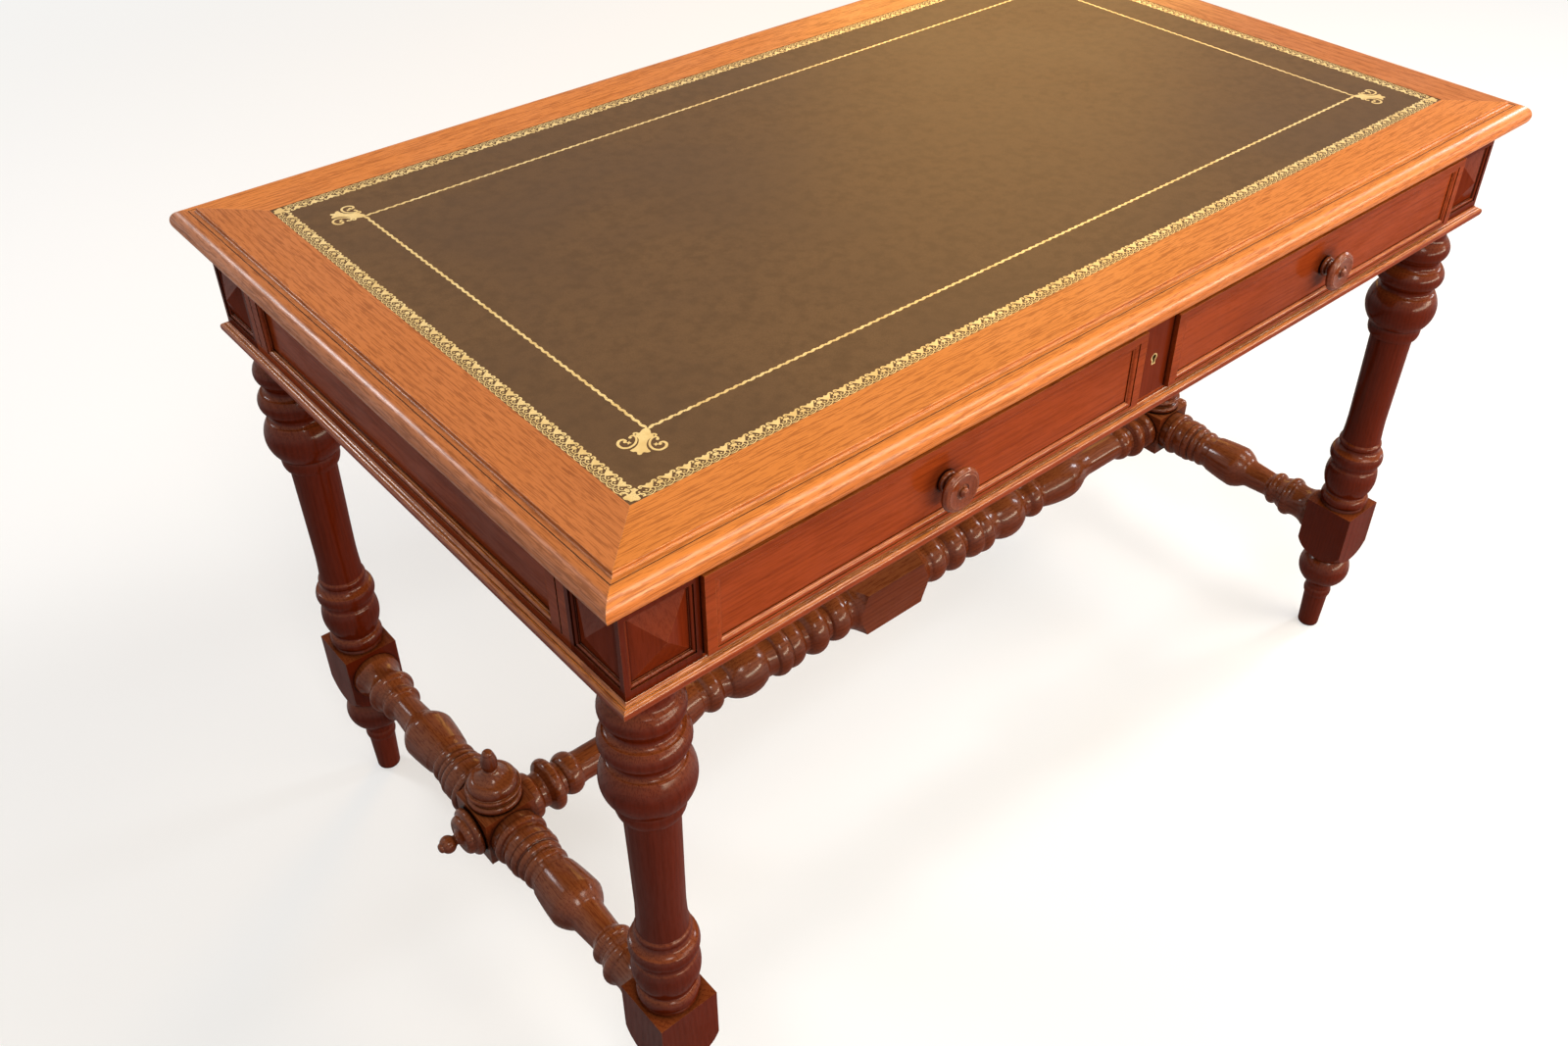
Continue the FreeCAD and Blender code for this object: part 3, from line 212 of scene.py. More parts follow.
class Shader(NodeBench):
    """A material with one Principled surface, and the nodes that feed it."""

    def __init__(self, name: str) -> None:
        """Makes an empty material with its surface node.

        Args:
            name: the material's name.
        """
        self.material = bpy.data.materials.new(name)
        super().__init__(self.material)
        self.surface = self.add("ShaderNodeBsdfPrincipled", {}, {})
        self.add("ShaderNodeOutputMaterial", {}, {"Surface": self.surface.outputs["BSDF"]})

    def set(self, **sockets: object) -> None:
        """Sets sockets of the surface, with underscores for the spaces in their names."""
        for name, value in sockets.items():
            self.feed(self.surface.inputs[name.replace("_", " ")], value)

    def place(self) -> tuple[Value, Value, Value]:
        """Finds the point that is shaded.

        Returns:
            Its X, Y and Z in the piece's own frame.
        """
        coordinates = self.add("ShaderNodeTexCoord", {}, {})
        parts = self.add("ShaderNodeSeparateXYZ", {}, {0: coordinates.outputs["Object"]})
        return tuple(Value(self, output) for output in parts.outputs)

    def vector(self, x: object, y: object, z: object) -> bpy.types.NodeSocket:
        """A vector from three values."""
        return self.add("ShaderNodeCombineXYZ", {}, {0: x, 1: y, 2: z}).outputs[0]

    def noise(self, vector: object, scale: float, detail: float = 2.0,
              roughness: float = 0.5) -> Value:
        """Adds soft noise.

        Args:
            vector: the place in the noise.
            scale: how often it changes in a metre.
            detail: how much finer noise is laid over it.
            roughness: how strong the finer noise is.

        Returns:
            The noise, from 0 to 1.
        """
        node = self.add("ShaderNodeTexNoise", {}, {"Vector": vector, "Scale": scale,
                                                    "Detail": detail, "Roughness": roughness})
        return Value(self, node.outputs[0])

    def cells(self, vector: object, scale: float) -> Value:
        """Distance to the nearest of scattered points."""
        node = self.add("ShaderNodeTexVoronoi", {"feature": "F1"},
                        {"Vector": vector, "Scale": scale})
        return Value(self, node.outputs["Distance"])

    def mix(self, amount: object, first: object, second: object) -> bpy.types.NodeSocket:
        """Mixes two colours.

        Args:
            amount: how much of the second colour shows, from 0 to 1.
            first: a colour or a colour socket.
            second: a colour or a colour socket.

        Returns:
            The mixed colour's socket.
        """
        node = self.add("ShaderNodeMix", {"data_type": "RGBA"},
                        {MIX_AMOUNT: amount, MIX_FIRST: first, MIX_SECOND: second})
        return node.outputs[MIX_COLOUR]

    def openness(self, distance: float) -> Value:
        """How open the surface is to its surroundings: low in grooves and corners."""
        node = self.add("ShaderNodeAmbientOcclusion", {"samples": OPENNESS_SAMPLES},
                        {"Distance": distance})
        return Value(self, node.outputs["AO"])

    def rounded_normal(self, radius: float) -> bpy.types.NodeSocket:
        """The surface's direction with its edges rounded over."""
        node = self.add("ShaderNodeBevel", {"samples": BEVEL_SAMPLES}, {"Radius": radius})
        return node.outputs[0]

    def _dot(self, first: object, second: object) -> Value:
        """The dot product of two vectors."""
        node = self.add("ShaderNodeVectorMath", {"operation": "DOT_PRODUCT"}, {0: first, 1: second})
        return Value(self, node.outputs["Value"])

    def edge(self, normal: bpy.types.NodeSocket) -> Value:
        """How far a rounded normal leans from the true one: high along edges."""
        true = self.add("ShaderNodeNewGeometry", {}, {}).outputs["Normal"]
        return 1.0 - self._dot(normal, true)

    def upward(self, normal: bpy.types.NodeSocket) -> Value:
        """How far a direction points up, from -1 to 1."""
        return self._dot(normal, (0.0, 0.0, 1.0))

    def bump(self, height: Value, distance: float, strength: float,
             normal: object = None) -> None:
        """Raises the surface by a height value.

        Args:
            height: the height, as a share of the distance.
            distance: how far a height of 1 stands out, in metres.
            strength: how much of the bump shows.
            normal: the direction that the bump starts from, where it isn't the surface's own.
        """
        inputs = {"Height": height, "Distance": distance, "Strength": strength}
        if normal is not None:
            inputs["Normal"] = normal
        node = self.add("ShaderNodeBump", {}, inputs)
        self.feed(self.surface.inputs["Normal"], node.outputs[0])


@dataclass(frozen=True)
class WoodPlace:
    """A point's places along the grain and the two ways across it."""

    shader: Shader
    along: Value
    across: Value
    depth: Value

    @classmethod
    def follow(cls, shader: Shader, grain: Grain) -> "WoodPlace":
        """Sorts the point's coordinates by the grain."""
        by_axis = dict(zip("XYZ", shader.place()))
        return cls(shader, *(by_axis[axis] for axis in grain.value))

    def noise(self, lengthwise: float, crosswise: float, detail: float) -> Value:
        """Soft noise that is drawn out along the grain.

        Args:
            lengthwise: how often it changes in a metre along the grain.
            crosswise: how often it changes in a metre across the grain.
            detail: how much finer noise is laid over it.

        Returns:
            The noise, from 0 to 1.
        """
        vector = self.shader.vector(self.along * lengthwise, self.across * crosswise,
                                    self.depth * crosswise)
        return self.shader.noise(vector, 1.0, detail)


@dataclass(frozen=True)
class OakFinish:
    """Stained and polished oak: bands of growth, streaks, open pores, edges rubbed bright with a
    painted highlight, grooves darkened with wax and painted shade, and faces that point up painted
    paler as painted light.

    A figure gives a noise's changes in a metre along and across the grain, and its detail. A span
    gives the values between which something goes from its first state to its last.
    """

    name: str
    light: Colour
    middle: Colour
    dark: Colour
    pore: Colour
    # Rubbed wear and painted highlight, for convex edges.
    wear_and_highlight: Colour
    # Dark wax and painted shade, for corners and grooves.
    wax_and_shade: Colour
    # Painted light: the paler colour of faces that point up, as if lit from above.
    faded_and_lit: Colour
    heart: Point = (0.19, 0.11)
    band_width: float = 4.6 * MM
    band_amount: float = 0.35
    band_span: Span = (0.1, 0.9)
    late_wood: float = 0.8
    drift: Figure = (1.6, 5.0, 2.0)
    drift_reach: float = 0.05
    ripple: Figure = (7.0, 60.0, 2.0)
    ripple_reach: float = 0.003
    patches: Figure = (3.0, 11.0, 3.0)
    patch_amount: float = 0.55
    patch_span: Span = (0.42, 0.72)
    streaks: Figure = (11.0, 430.0, 2.0)
    streak_amount: float = 0.5
    streak_span: Span = (0.42, 0.78)
    pore_amount: float = 0.8
    pore_width: float = 0.75 * MM
    pore_length: float = 10.0 * MM
    pore_detail: float = 0.5
    fine_pore_span: Span = (0.60, 0.68)
    fine_pore_amount: float = 0.7
    long_pore_scale: Point = (0.5, 0.7)
    long_pore_span: Span = (0.60, 0.67)
    crowd_span: Span = (0.35, 0.9)
    crowd_amount: float = 0.09
    # Painted light on faces that point up: strength, steps of the upward lean, and how much pores
    # keep their dark.
    top_light_amount: float = 0.0
    top_light_span: Span = (0.15, 0.95)
    top_light_in_pores: float = 0.4
    # Rubbed wear and painted highlight on edges: strength, edge steps, and how open the edge must
    # be.
    wear_and_highlight_amount: float = 0.5
    wear_and_highlight_span: Span = (0.015, 0.12)
    wear_and_highlight_openness: Span = (0.45, 0.75)
    scuffs: Figure = (60.0, 160.0, 3.0)
    scuff_span: Span = (0.3, 0.65)
    scuff_least: float = 0.35
    # Dark wax and painted shade in corners and grooves: strength, reach and steps, then the same
    # for fine grooves.
    wax_and_shade_amount: float = 0.9
    grime_and_shade_reach: float = 9.0 * MM
    grime_and_shade_span: Span = (0.25, 0.8)
    groove_amount: float = 0.85
    groove_reach: float = 2.6 * MM
    groove_span: Span = (0.45, 0.92)
    smears: Figure = (12.0, 18.0, 4.0)
    smear_gloss: float = 0.75
    pore_gloss: float = 0.7
    roughness: float = 0.5
    roughness_drift: Span = (-0.05, 0.07)
    pore_roughness: float = 0.15
    coat: float = 0.30
    slope_coat: float = 0.95
    slope_start: Span = (0.08, 0.40)
    slope_end: Span = (0.80, 0.97)
    coat_roughness: float = 0.13
    bevel: float = 0.5 * MM
    relief: float = 0.10 * MM
    relief_strength: float = 0.25
    relief_shares: tuple[float, float, float] = (0.6, 0.5, 0.5)

    def material(self, grain: Grain) -> bpy.types.Material:
        """Makes the finish with its grain along one axis.

        Args:
            grain: the axis that the grain follows.

        Returns:
            The material.
        """
        shader = Shader(f"{self.name}_{grain.name.lower()}")
        wood = WoodPlace.follow(shader, grain)
        bands = self._bands(wood)
        streaks = wood.noise(*self.streaks)
        pores = self._pores(wood, bands)
        patches = wood.noise(*self.patches)
        smears = wood.noise(*self.smears)
        normal = shader.rounded_normal(self.bevel)
        upward = shader.upward(normal)

        ring = bands.between(*self.band_span, 0.0, self.band_amount)
        tone = shader.mix(ring, self.light, self.middle)
        for noise, span, amount in ((patches, self.patch_span, self.patch_amount),
                                    (streaks, self.streak_span, self.streak_amount)):
            tone = shader.mix(noise.between(*span, 0.0, amount), tone, self.dark)
        tone = shader.mix(pores * self.pore_amount, tone, self.pore)
        # Painted light: faces that point up are painted paler, while undersides keep the darker
        # tone.
        if self.top_light_amount:
            painted_top_light = upward.between(*self.top_light_span) * self.top_light_amount
            open_wood = pores.between(0.0, 1.0, 1.0, self.top_light_in_pores)
            tone = shader.mix(painted_top_light * open_wood, tone, self.faded_and_lit)
        tone = self._aged(wood, normal, tone)

        low, high = self.roughness_drift
        rough = smears.between(*NOISE_SPAN, self.roughness + low, self.roughness + high)
        shader.set(Base_Color=tone, Roughness=rough + pores * self.pore_roughness,
                   Specular_IOR_Level=0.0, Coat_Weight=self._gloss(upward, smears, pores),
                   Coat_Roughness=self.coat_roughness)
        solid, raised, waxed = self.relief_shares
        height = (1.0 - pores) * solid + streaks * raised + smears * waxed
        shader.bump(height, self.relief, self.relief_strength, normal)
        return shader.material

    def _bands(self, wood: WoodPlace) -> Value:
        """Draws growth bands round a heart outside the piece, drifting from side to side.

        Args:
            wood: the point's places in the wood.

        Returns:
            The bands, from 0 to 1.
        """
        drift = wood.noise(*self.drift) * self.drift_reach
        ripple = wood.noise(*self.ripple) * self.ripple_reach
        across, depth = wood.across - self.heart[0], wood.depth - self.heart[1]
        radius = (across * across + depth * depth).root()
        phase = ((radius + drift + ripple) * (1.0 / self.band_width)).fraction()
        return phase.between(0.0, self.late_wood, 1.0, 0.0) + phase.between(self.late_wood, 1.0)

    def _pores(self, wood: WoodPlace, bands: Value) -> Value:
        """Draws short dark pores along the grain, crowded at the start of each growth band.

        Args:
            wood: the point's places in the wood.
            bands: the growth bands.

        Returns:
            The pores: 1 in a pore, 0 on solid wood.
        """
        length, width = 1.0 / self.pore_length, 1.0 / self.pore_width
        long_share, wide_share = self.long_pore_scale
        crowd = bands.between(*self.crowd_span, 0.0, self.crowd_amount)
        fine = wood.noise(length, width, self.pore_detail) + crowd
        long = wood.noise(length * long_share, width * wide_share, self.pore_detail) + crowd
        open_fine = fine.between(*self.fine_pore_span, 0.0, self.fine_pore_amount)
        return open_fine.greatest(long.between(*self.long_pore_span))

    def _aged(self, wood: WoodPlace, normal: bpy.types.NodeSocket,
              tone: bpy.types.NodeSocket) -> bpy.types.NodeSocket:
        """Rubs the free edges bright, partly as a painted highlight, and darkens corners and
        grooves with dark wax and painted shade.

        Args:
            wood: the point's places in the wood.
            normal: the surface's direction with its edges rounded over.
            tone: the colour of the wood before its wear, wax, painted shade and painted highlight.

        Returns:
            The worn colour's socket, with its painted shade and painted highlight.
        """
        shader = wood.shader
        openness = shader.openness(self.grime_and_shade_reach)
        # Rubbed wear and painted highlight: open convex edges are painted brighter in scuffed
        # patches.
        edge = shader.edge(normal).between(*self.wear_and_highlight_span) * openness.between(*self.wear_and_highlight_openness)
        scuffs = wood.noise(*self.scuffs).between(*self.scuff_span, self.scuff_least, 1.0)
        # Painted shade, partly dark wax: corners and grooves are painted darker the more closed in
        # they are, at two reaches.
        wax_and_shade = openness.between(*self.grime_and_shade_span, self.wax_and_shade_amount, 0.0)
        fine_openness = shader.openness(self.groove_reach)
        groove = fine_openness.between(*self.groove_span, self.groove_amount, 0.0)
        tone = shader.mix(edge * scuffs * self.wear_and_highlight_amount, tone, self.wear_and_highlight)
        return shader.mix(groove, shader.mix(wax_and_shade, tone, self.wax_and_shade), self.wax_and_shade)

    def _gloss(self, upward: Value, smears: Value, pores: Value) -> Value:
        """Works out the polish, which slopes show most and smears and pores dull.

        Args:
            upward: how far the surface faces up.
            smears: the noise of the wax's smears.
            pores: the pores.

        Returns:
            The coat's weight.
        """
        slope = upward.between(*self.slope_start) * upward.between(*self.slope_end, 1.0, 0.0)
        polish = smears.between(*NOISE_SPAN, 1.0, self.smear_gloss)
        polish = polish * pores.between(0.0, 1.0, 1.0, self.pore_gloss)
        return (slope * (self.slope_coat - self.coat) + self.coat) * polish


@dataclass(frozen=True)
class LeatherFinish:
    """Smooth writing leather, dyed dark, with a fine grain and a soft polish."""

    name: str = "writing_leather"
    base: Colour = (0.118, 0.060, 0.0245)
    shade: Colour = (0.078, 0.040, 0.0160)
    # The leather's paler tone, which follows only random clouds.
    faded_and_lit: Colour = (0.150, 0.079, 0.0335)
    cloud_scale: float = 5.0
    cloud_span: Span = (0.35, 0.68)
    mottle_scale: float = 90.0
    mottle_span: Span = (0.35, 0.75)
    mottle_amount: float = 0.45
    grain_scale: float = 900.0
    grain_span: Span = (0.25, 0.75)
    grain_amount: float = 0.25
    wrinkle_scale: float = 420.0
    wrinkle_stretch: float = 1.6
    roughness: Span = (0.36, 0.46)
    pit_span: Span = (0.2, 0.8)
    pit_roughness: Span = (-0.03, 0.05)
    coat: Span = (0.34, 0.24)
    coat_roughness: float = 0.40
    relief: float = 0.10 * MM
    relief_strength: float = 0.30
    relief_shares: tuple[float, float, float] = (0.7, 0.6, 2.0)

    def material(self) -> bpy.types.Material:
        """Makes the leather.

        Returns:
            The material.
        """
        shader = Shader(self.name)
        x, y, z = shader.place()
        spot = shader.vector(x, y, z)
        cloud = shader.noise(spot, self.cloud_scale, FINE_DETAIL, FINE_ROUGHNESS)
        mottle = shader.noise(spot, self.mottle_scale, MIDDLE_DETAIL)
        grain = shader.cells(spot, self.grain_scale)
        wrinkle = shader.noise(shader.vector(x, y * self.wrinkle_stretch, z), self.wrinkle_scale)
        tone = shader.mix(cloud.between(*self.cloud_span), self.base, self.faded_and_lit)
        for noise, span, amount in ((mottle, self.mottle_span, self.mottle_amount),
                                    (grain, self.grain_span, self.grain_amount)):
            tone = shader.mix(noise.between(*span, 0.0, amount), tone, self.shade)
        rough = cloud.between(*NOISE_SPAN, *self.roughness)
        rough = rough + grain.between(*self.pit_span, *self.pit_roughness)
        shader.set(Base_Color=tone, Roughness=rough, Specular_IOR_Level=0.0,
                   Coat_Weight=cloud.between(*NOISE_SPAN, *self.coat),
                   Coat_Roughness=self.coat_roughness)
        creased, pitted, swollen = self.relief_shares
        height = wrinkle * creased - grain * pitted + cloud * swollen
        shader.bump(height, self.relief, self.relief_strength)
        return shader.material


@dataclass(frozen=True)
class GildingFinish:
    """Gold leaf stamped into leather, thin and a little rubbed."""

    name: str = "gold_tooling"
    gold: Colour = (0.70, 0.47, 0.16)
    pale: Colour = (0.86, 0.63, 0.26)
    rubbed: Colour = (0.34, 0.21, 0.075)
    drift_scale: float = 60.0
    drift_span: Span = (0.35, 0.65)
    fleck_scale: float = 1400.0
    rubbed_shares: Span = (0.5, 0.6)
    rubbed_span: Span = (0.62, 0.74)
    rubbed_amount: float = 0.6
    metallic: Span = (0.18, 0.32)
    roughness: Span = (0.34, 0.5)
    relief: float = 0.05 * MM
    relief_strength: float = 0.3

    def material(self) -> bpy.types.Material:
        """Makes the gold leaf.

        Returns:
            The material.
        """
        shader = Shader(self.name)
        spot = shader.vector(*shader.place())
        drift = shader.noise(spot, self.drift_scale, MIDDLE_DETAIL)
        fleck = shader.noise(spot, self.fleck_scale)
        tone = shader.mix(drift.between(*self.drift_span), self.gold, self.pale)
        rubbing = drift * self.rubbed_shares[0] + fleck * self.rubbed_shares[1]
        tone = shader.mix(rubbing.between(*self.rubbed_span, 0.0, self.rubbed_amount), tone,
                          self.rubbed)
        shader.set(Base_Color=tone, Metallic=drift.between(*NOISE_SPAN, *self.metallic),
                   Roughness=fleck.between(*NOISE_SPAN, *self.roughness))
        shader.bump(fleck + drift, self.relief, self.relief_strength)
        return shader.material


@dataclass(frozen=True)
class MetalFinish:
    """Old fittings of brass or steel, with a dull skin and brighter rubbed edges."""

    name: str
    bright: Colour
    dull: Colour
    roughness: float
    roughness_drift: Span = (-0.08, 0.12)
    stain_scale: float = 180.0
    stain_span: Span = (0.35, 0.65)
    dull_span: Span = (0.3, 0.8)
    dull_metallic: float = 0.8
    scratch_scale: tuple[float, float, float] = (2500.0, 300.0, 900.0)
    edge_span: Span = (0.01, 0.1)
    rubbed_amount: float = 0.6
    grime_and_shade_span: Span = (0.2, 0.9)
    open_tarnish: float = 0.8
    bevel: float = 0.2 * MM
    grime_and_shade_reach: float = 3.0 * MM
    relief: float = 0.03 * MM
    relief_strength: float = 0.25

    def material(self) -> bpy.types.Material:
        """Makes the metal.

        Returns:
            The material.
        """
        shader = Shader(self.name)
        place = shader.place()
        stain = shader.noise(shader.vector(*place), self.stain_scale, FINE_DETAIL, FINE_ROUGHNESS)
        drawn_out = (axis * scale for axis, scale in zip(place, self.scratch_scale))
        scratch = shader.noise(shader.vector(*drawn_out), 1.0)
        normal = shader.rounded_normal(self.bevel)
        edge = shader.edge(normal).between(*self.edge_span)
        openness = shader.openness(self.grime_and_shade_reach)
        sheltered = openness.between(*self.grime_and_shade_span, 1.0, self.open_tarnish)
        tarnish = stain.between(*self.stain_span) * sheltered
        tone = shader.mix(tarnish - edge * self.rubbed_amount, self.bright, self.dull)
        low, high = self.roughness_drift
        rough = stain.between(*NOISE_SPAN, self.roughness + low, self.roughness + high)
        metallic = stain.between(*self.dull_span, 1.0, self.dull_metallic)
        shader.set(Base_Color=tone, Metallic=metallic, Roughness=rough)
        shader.bump(scratch + stain, self.relief, self.relief_strength, normal)
        return shader.material


@dataclass(frozen=True)
class FloorFinish:
    """A plain pale studio floor, which the camera and the polish see paler than it lights, and
    which is painted darker away from the table as a painted fall-off of light.
    """

    name: str = "pale_floor"
    base: Colour = (0.935, 0.94, 0.95)
    # Painted fall-off of light: the darker floor colour far from the table.
    shade: Colour = (0.86, 0.855, 0.84)
    bounce: Colour = (0.46, 0.44, 0.42)
    glow: Colour = (0.975, 0.975, 0.965)
    # Painted fall-off of light: the darker colour that the camera sees far from the table.
    far_glow: Colour = (0.93, 0.925, 0.91)
    glow_amount: float = 0.45
    far_span: Span = (1.6, 4.6)
    cloud_scale: float = 0.8
    cloud_reach: float = 0.5
    roughness: Span = (0.8, 0.9)

    def material(self) -> bpy.types.Material:
        """Makes the floor.

        Returns:
            The material.
        """
        shader = Shader(self.name)
        x, y, z = shader.place()
        cloud = shader.noise(shader.vector(x, y, z), self.cloud_scale)
        # Painted fall-off of light: the floor is painted darker with its distance from the table.
        distance = (x * x + y * y).root() + cloud * self.cloud_reach
        far = distance.between(*self.far_span)
        pale = shader.mix(far, self.base, self.shade)
        seen = shader.seen()
        shader.set(Base_Color=shader.mix(seen, self.bounce, pale),
                   Roughness=cloud.between(*NOISE_SPAN, *self.roughness), Specular_IOR_Level=0.0)
        glow_colour = shader.mix(far, self.glow, self.far_glow)
        glow = shader.add("ShaderNodeEmission", {}, {"Color": glow_colour, "Strength": 1.0})
        amount = seen * (far * (1.0 - self.glow_amount) + self.glow_amount)
        both = shader.add("ShaderNodeMixShader", {}, {0: amount, 1: shader.surface.outputs["BSDF"],
                                                      2: glow.outputs[0]})
        shader.add("ShaderNodeOutputMaterial", {"is_active_output": True},
                   {"Surface": both.outputs[0]})
        return shader.material


# In these finishes the paler colour of upward faces is painted light, the dark colour of grooves is
# dark wax and painted shade, and the bright colour of edges is rubbed wear and painted highlight.
TOP_OAK = OakFinish(
    "top_oak", light=(0.56, 0.165, 0.030), middle=(0.46, 0.122, 0.021), dark=(0.33, 0.078, 0.013),
    pore=(0.20, 0.050, 0.011), wear_and_highlight=(0.85, 0.45, 0.16), wax_and_shade=(0.060, 0.016, 0.005),
    faded_and_lit=(0.69, 0.222, 0.038), top_light_amount=0.8, pore_amount=0.55, band_amount=0.2, coat=0.42,
    slope_coat=1.0, coat_roughness=0.28)
# Painted shade: the end borders get a darker copy of the top's oak, standing in for the weaker
# light and sheen they catch.
END_OAK = OakFinish(
    "end_oak", light=(0.50, 0.150, 0.034), middle=(0.41, 0.112, 0.025), dark=(0.29, 0.075, 0.020),
    pore=(0.14, 0.036, 0.011), wear_and_highlight=(0.74, 0.34, 0.12), wax_and_shade=(0.050, 0.014, 0.005),
    faded_and_lit=(0.55, 0.178, 0.044), top_light_amount=0.6, heart=(0.31, 0.16), pore_amount=0.55,
    band_amount=0.2, coat=0.4, slope_coat=1.0, coat_roughness=0.28)
FRIEZE_OAK = OakFinish(
    "frieze_oak", light=(0.245, 0.039, 0.0080), middle=(0.185, 0.026, 0.0056),
    dark=(0.105, 0.014, 0.0034), pore=(0.060, 0.0095, 0.0027), wear_and_highlight=(0.60, 0.20, 0.050),
    wax_and_shade=(0.014, 0.0030, 0.0013), faded_and_lit=(0.58, 0.195, 0.038), top_light_amount=0.7, coat=0.17,
    coat_roughness=0.16, heart=(0.23, 0.60), pore_amount=0.22, band_amount=0.15, slope_coat=0.85)
CORNER_OAK = replace(
    FRIEZE_OAK, name="corner_oak", light=(0.128, 0.016, 0.0038), middle=(0.096, 0.011, 0.0028),
    dark=(0.066, 0.008, 0.0022), faded_and_lit=(0.34, 0.088, 0.018), top_light_amount=0.45, coat=0.12,
    slope_coat=0.4, patch_amount=0.35, streak_amount=0.3)
KNOB_OAK = replace(
    FRIEZE_OAK, name="knob_oak", light=(0.165, 0.032, 0.0085), middle=(0.120, 0.021, 0.0056),
    dark=(0.070, 0.011, 0.0032), faded_and_lit=(0.30, 0.085, 0.024), coat=0.45)
# Partly the wood's own tone and partly painted shade: the legs get a darker oak than the stretcher,
# as they catch less light.
LEG_OAK = OakFinish(
    "leg_oak", light=(0.092, 0.0100, 0.0022), middle=(0.064, 0.0070, 0.0016),
    dark=(0.046, 0.0060, 0.0017), pore=(0.026, 0.0038, 0.0013), wear_and_highlight=(0.36, 0.105, 0.026),
    wax_and_shade=(0.006, 0.0014, 0.0007), faded_and_lit=(0.25, 0.062, 0.016), top_light_amount=0.6, coat=0.15,
    coat_roughness=0.17, grime_and_shade_reach=14.0 * MM, heart=(0.43, 0.21), pore_amount=0.14,
    slope_coat=0.42, band_amount=0.2, patch_amount=0.45, streak_amount=0.35)
# Partly the wood's own tone and partly painted light: the stretcher's oak is paler than the legs',
# as its upper faces catch more light.
STRETCHER_OAK = OakFinish(
    "stretcher_oak", light=(0.135, 0.025, 0.0065), middle=(0.094, 0.0160, 0.0044),
    dark=(0.054, 0.0090, 0.0026), pore=(0.030, 0.0055, 0.0018), wear_and_highlight=(0.42, 0.145, 0.042),
    wax_and_shade=(0.008, 0.0019, 0.0009), faded_and_lit=(0.25, 0.072, 0.021), top_light_amount=0.65, coat=0.24,
    coat_roughness=0.17, grime_and_shade_reach=14.0 * MM, heart=(0.31, 0.52), wear_and_highlight_amount=0.4,
    pore_amount=0.18, slope_coat=0.6, band_amount=0.25)
PLAIN_OAK = OakFinish(
    "plain_oak", light=(0.50, 0.335, 0.185), middle=(0.42, 0.265, 0.135), dark=(0.30, 0.175, 0.085),
    pore=(0.16, 0.085, 0.038), wear_and_highlight=(0.60, 0.43, 0.26), wax_and_shade=(0.12, 0.07, 0.035),
    faded_and_lit=(0.55, 0.38, 0.22), roughness=0.7, coat=0.03, coat_roughness=0.4, heart=(0.10, 0.50),
    wear_and_highlight_amount=0.3, pore_amount=0.5)
BRASS = MetalFinish("aged_brass", bright=(0.72, 0.50, 0.20), dull=(0.24, 0.14, 0.06),
                    roughness=0.36)
STEEL = MetalFinish("dull_steel", bright=(0.50, 0.49, 0.47), dull=(0.20, 0.18, 0.16),
                    roughness=0.45)


class Dresser:
    """Gives the table's own nodes their finishes, one material for each finish and grain."""

    def __init__(self) -> None:
        """Starts with no materials made."""
        self.made: dict[tuple, bpy.types.Material] = {}

    def oak(self, finish: OakFinish, grain: Grain, *nodes: str) -> None:
        """Dresses nodes in oak.

        Args:
            finish: the oak's stain and polish.
            grain: the axis that the grain follows.
            nodes: the names of the nodes.
        """
        key = (finish.name, grain)
        if key not in self.made:
            self.made[key] = finish.material(grain)
        self.dress(self.made[key], *nodes)

    def plain(self, finish: LeatherFinish | MetalFinish, *nodes: str) -> None:
        """Dresses nodes in a finish that has no grain.

        Args:
            finish: the leather or metal.
            nodes: the names of the nodes.
        """
        if finish.name not in self.made:
            self.made[finish.name] = finish.material()
        self.dress(self.made[finish.name], *nodes)

    @staticmethod
    def dress(material: bpy.types.Material, *nodes: str) -> None:
        """Puts a material on each node's slots.

        Args:
            material: the finish.
            nodes: the names of the nodes.
        """
        for node in nodes:
            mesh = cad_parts[node].data
            if not mesh.materials:
                mesh.materials.append(material)
            for index in range(len(mesh.materials)):
                mesh.materials[index] = material


def smooth_line(points: list[Point], steps: int = 6) -> list[Point]:
    """Rounds a line through its given points.

    Args:
        points: the points that the line passes.
        steps: how many short runs lie between two points.

    Returns:
        The points of the rounded line.
    """
    ends = [points[0], *points, points[-1]]
    line = []
    for index in range(len(points) - 1):
        before, start, end, after = (Vector(ends[index + k]) for k in range(4))
        for step in range(steps):
            t = step / steps
            line.append(tuple(0.5 * (2 * start + (end - before) * t
                                     + (2 * before - 5 * start + 4 * end - after) * t * t
                                     + (3 * start - before - 3 * end + after) * t ** 3)))
    line.append(tuple(points[-1]))
    return line


def mirror_line(points: list[Point]) -> list[Point]:
    """The same line on the other side of the middle."""
    return [(-a, b) for a, b in points]


def around(centre: Point, reach: float, turn: float) -> Point:
    """The point at a distance from a centre, in a direction."""
    return (centre[0] + reach * math.cos(turn), centre[1] + reach * math.sin(turn))


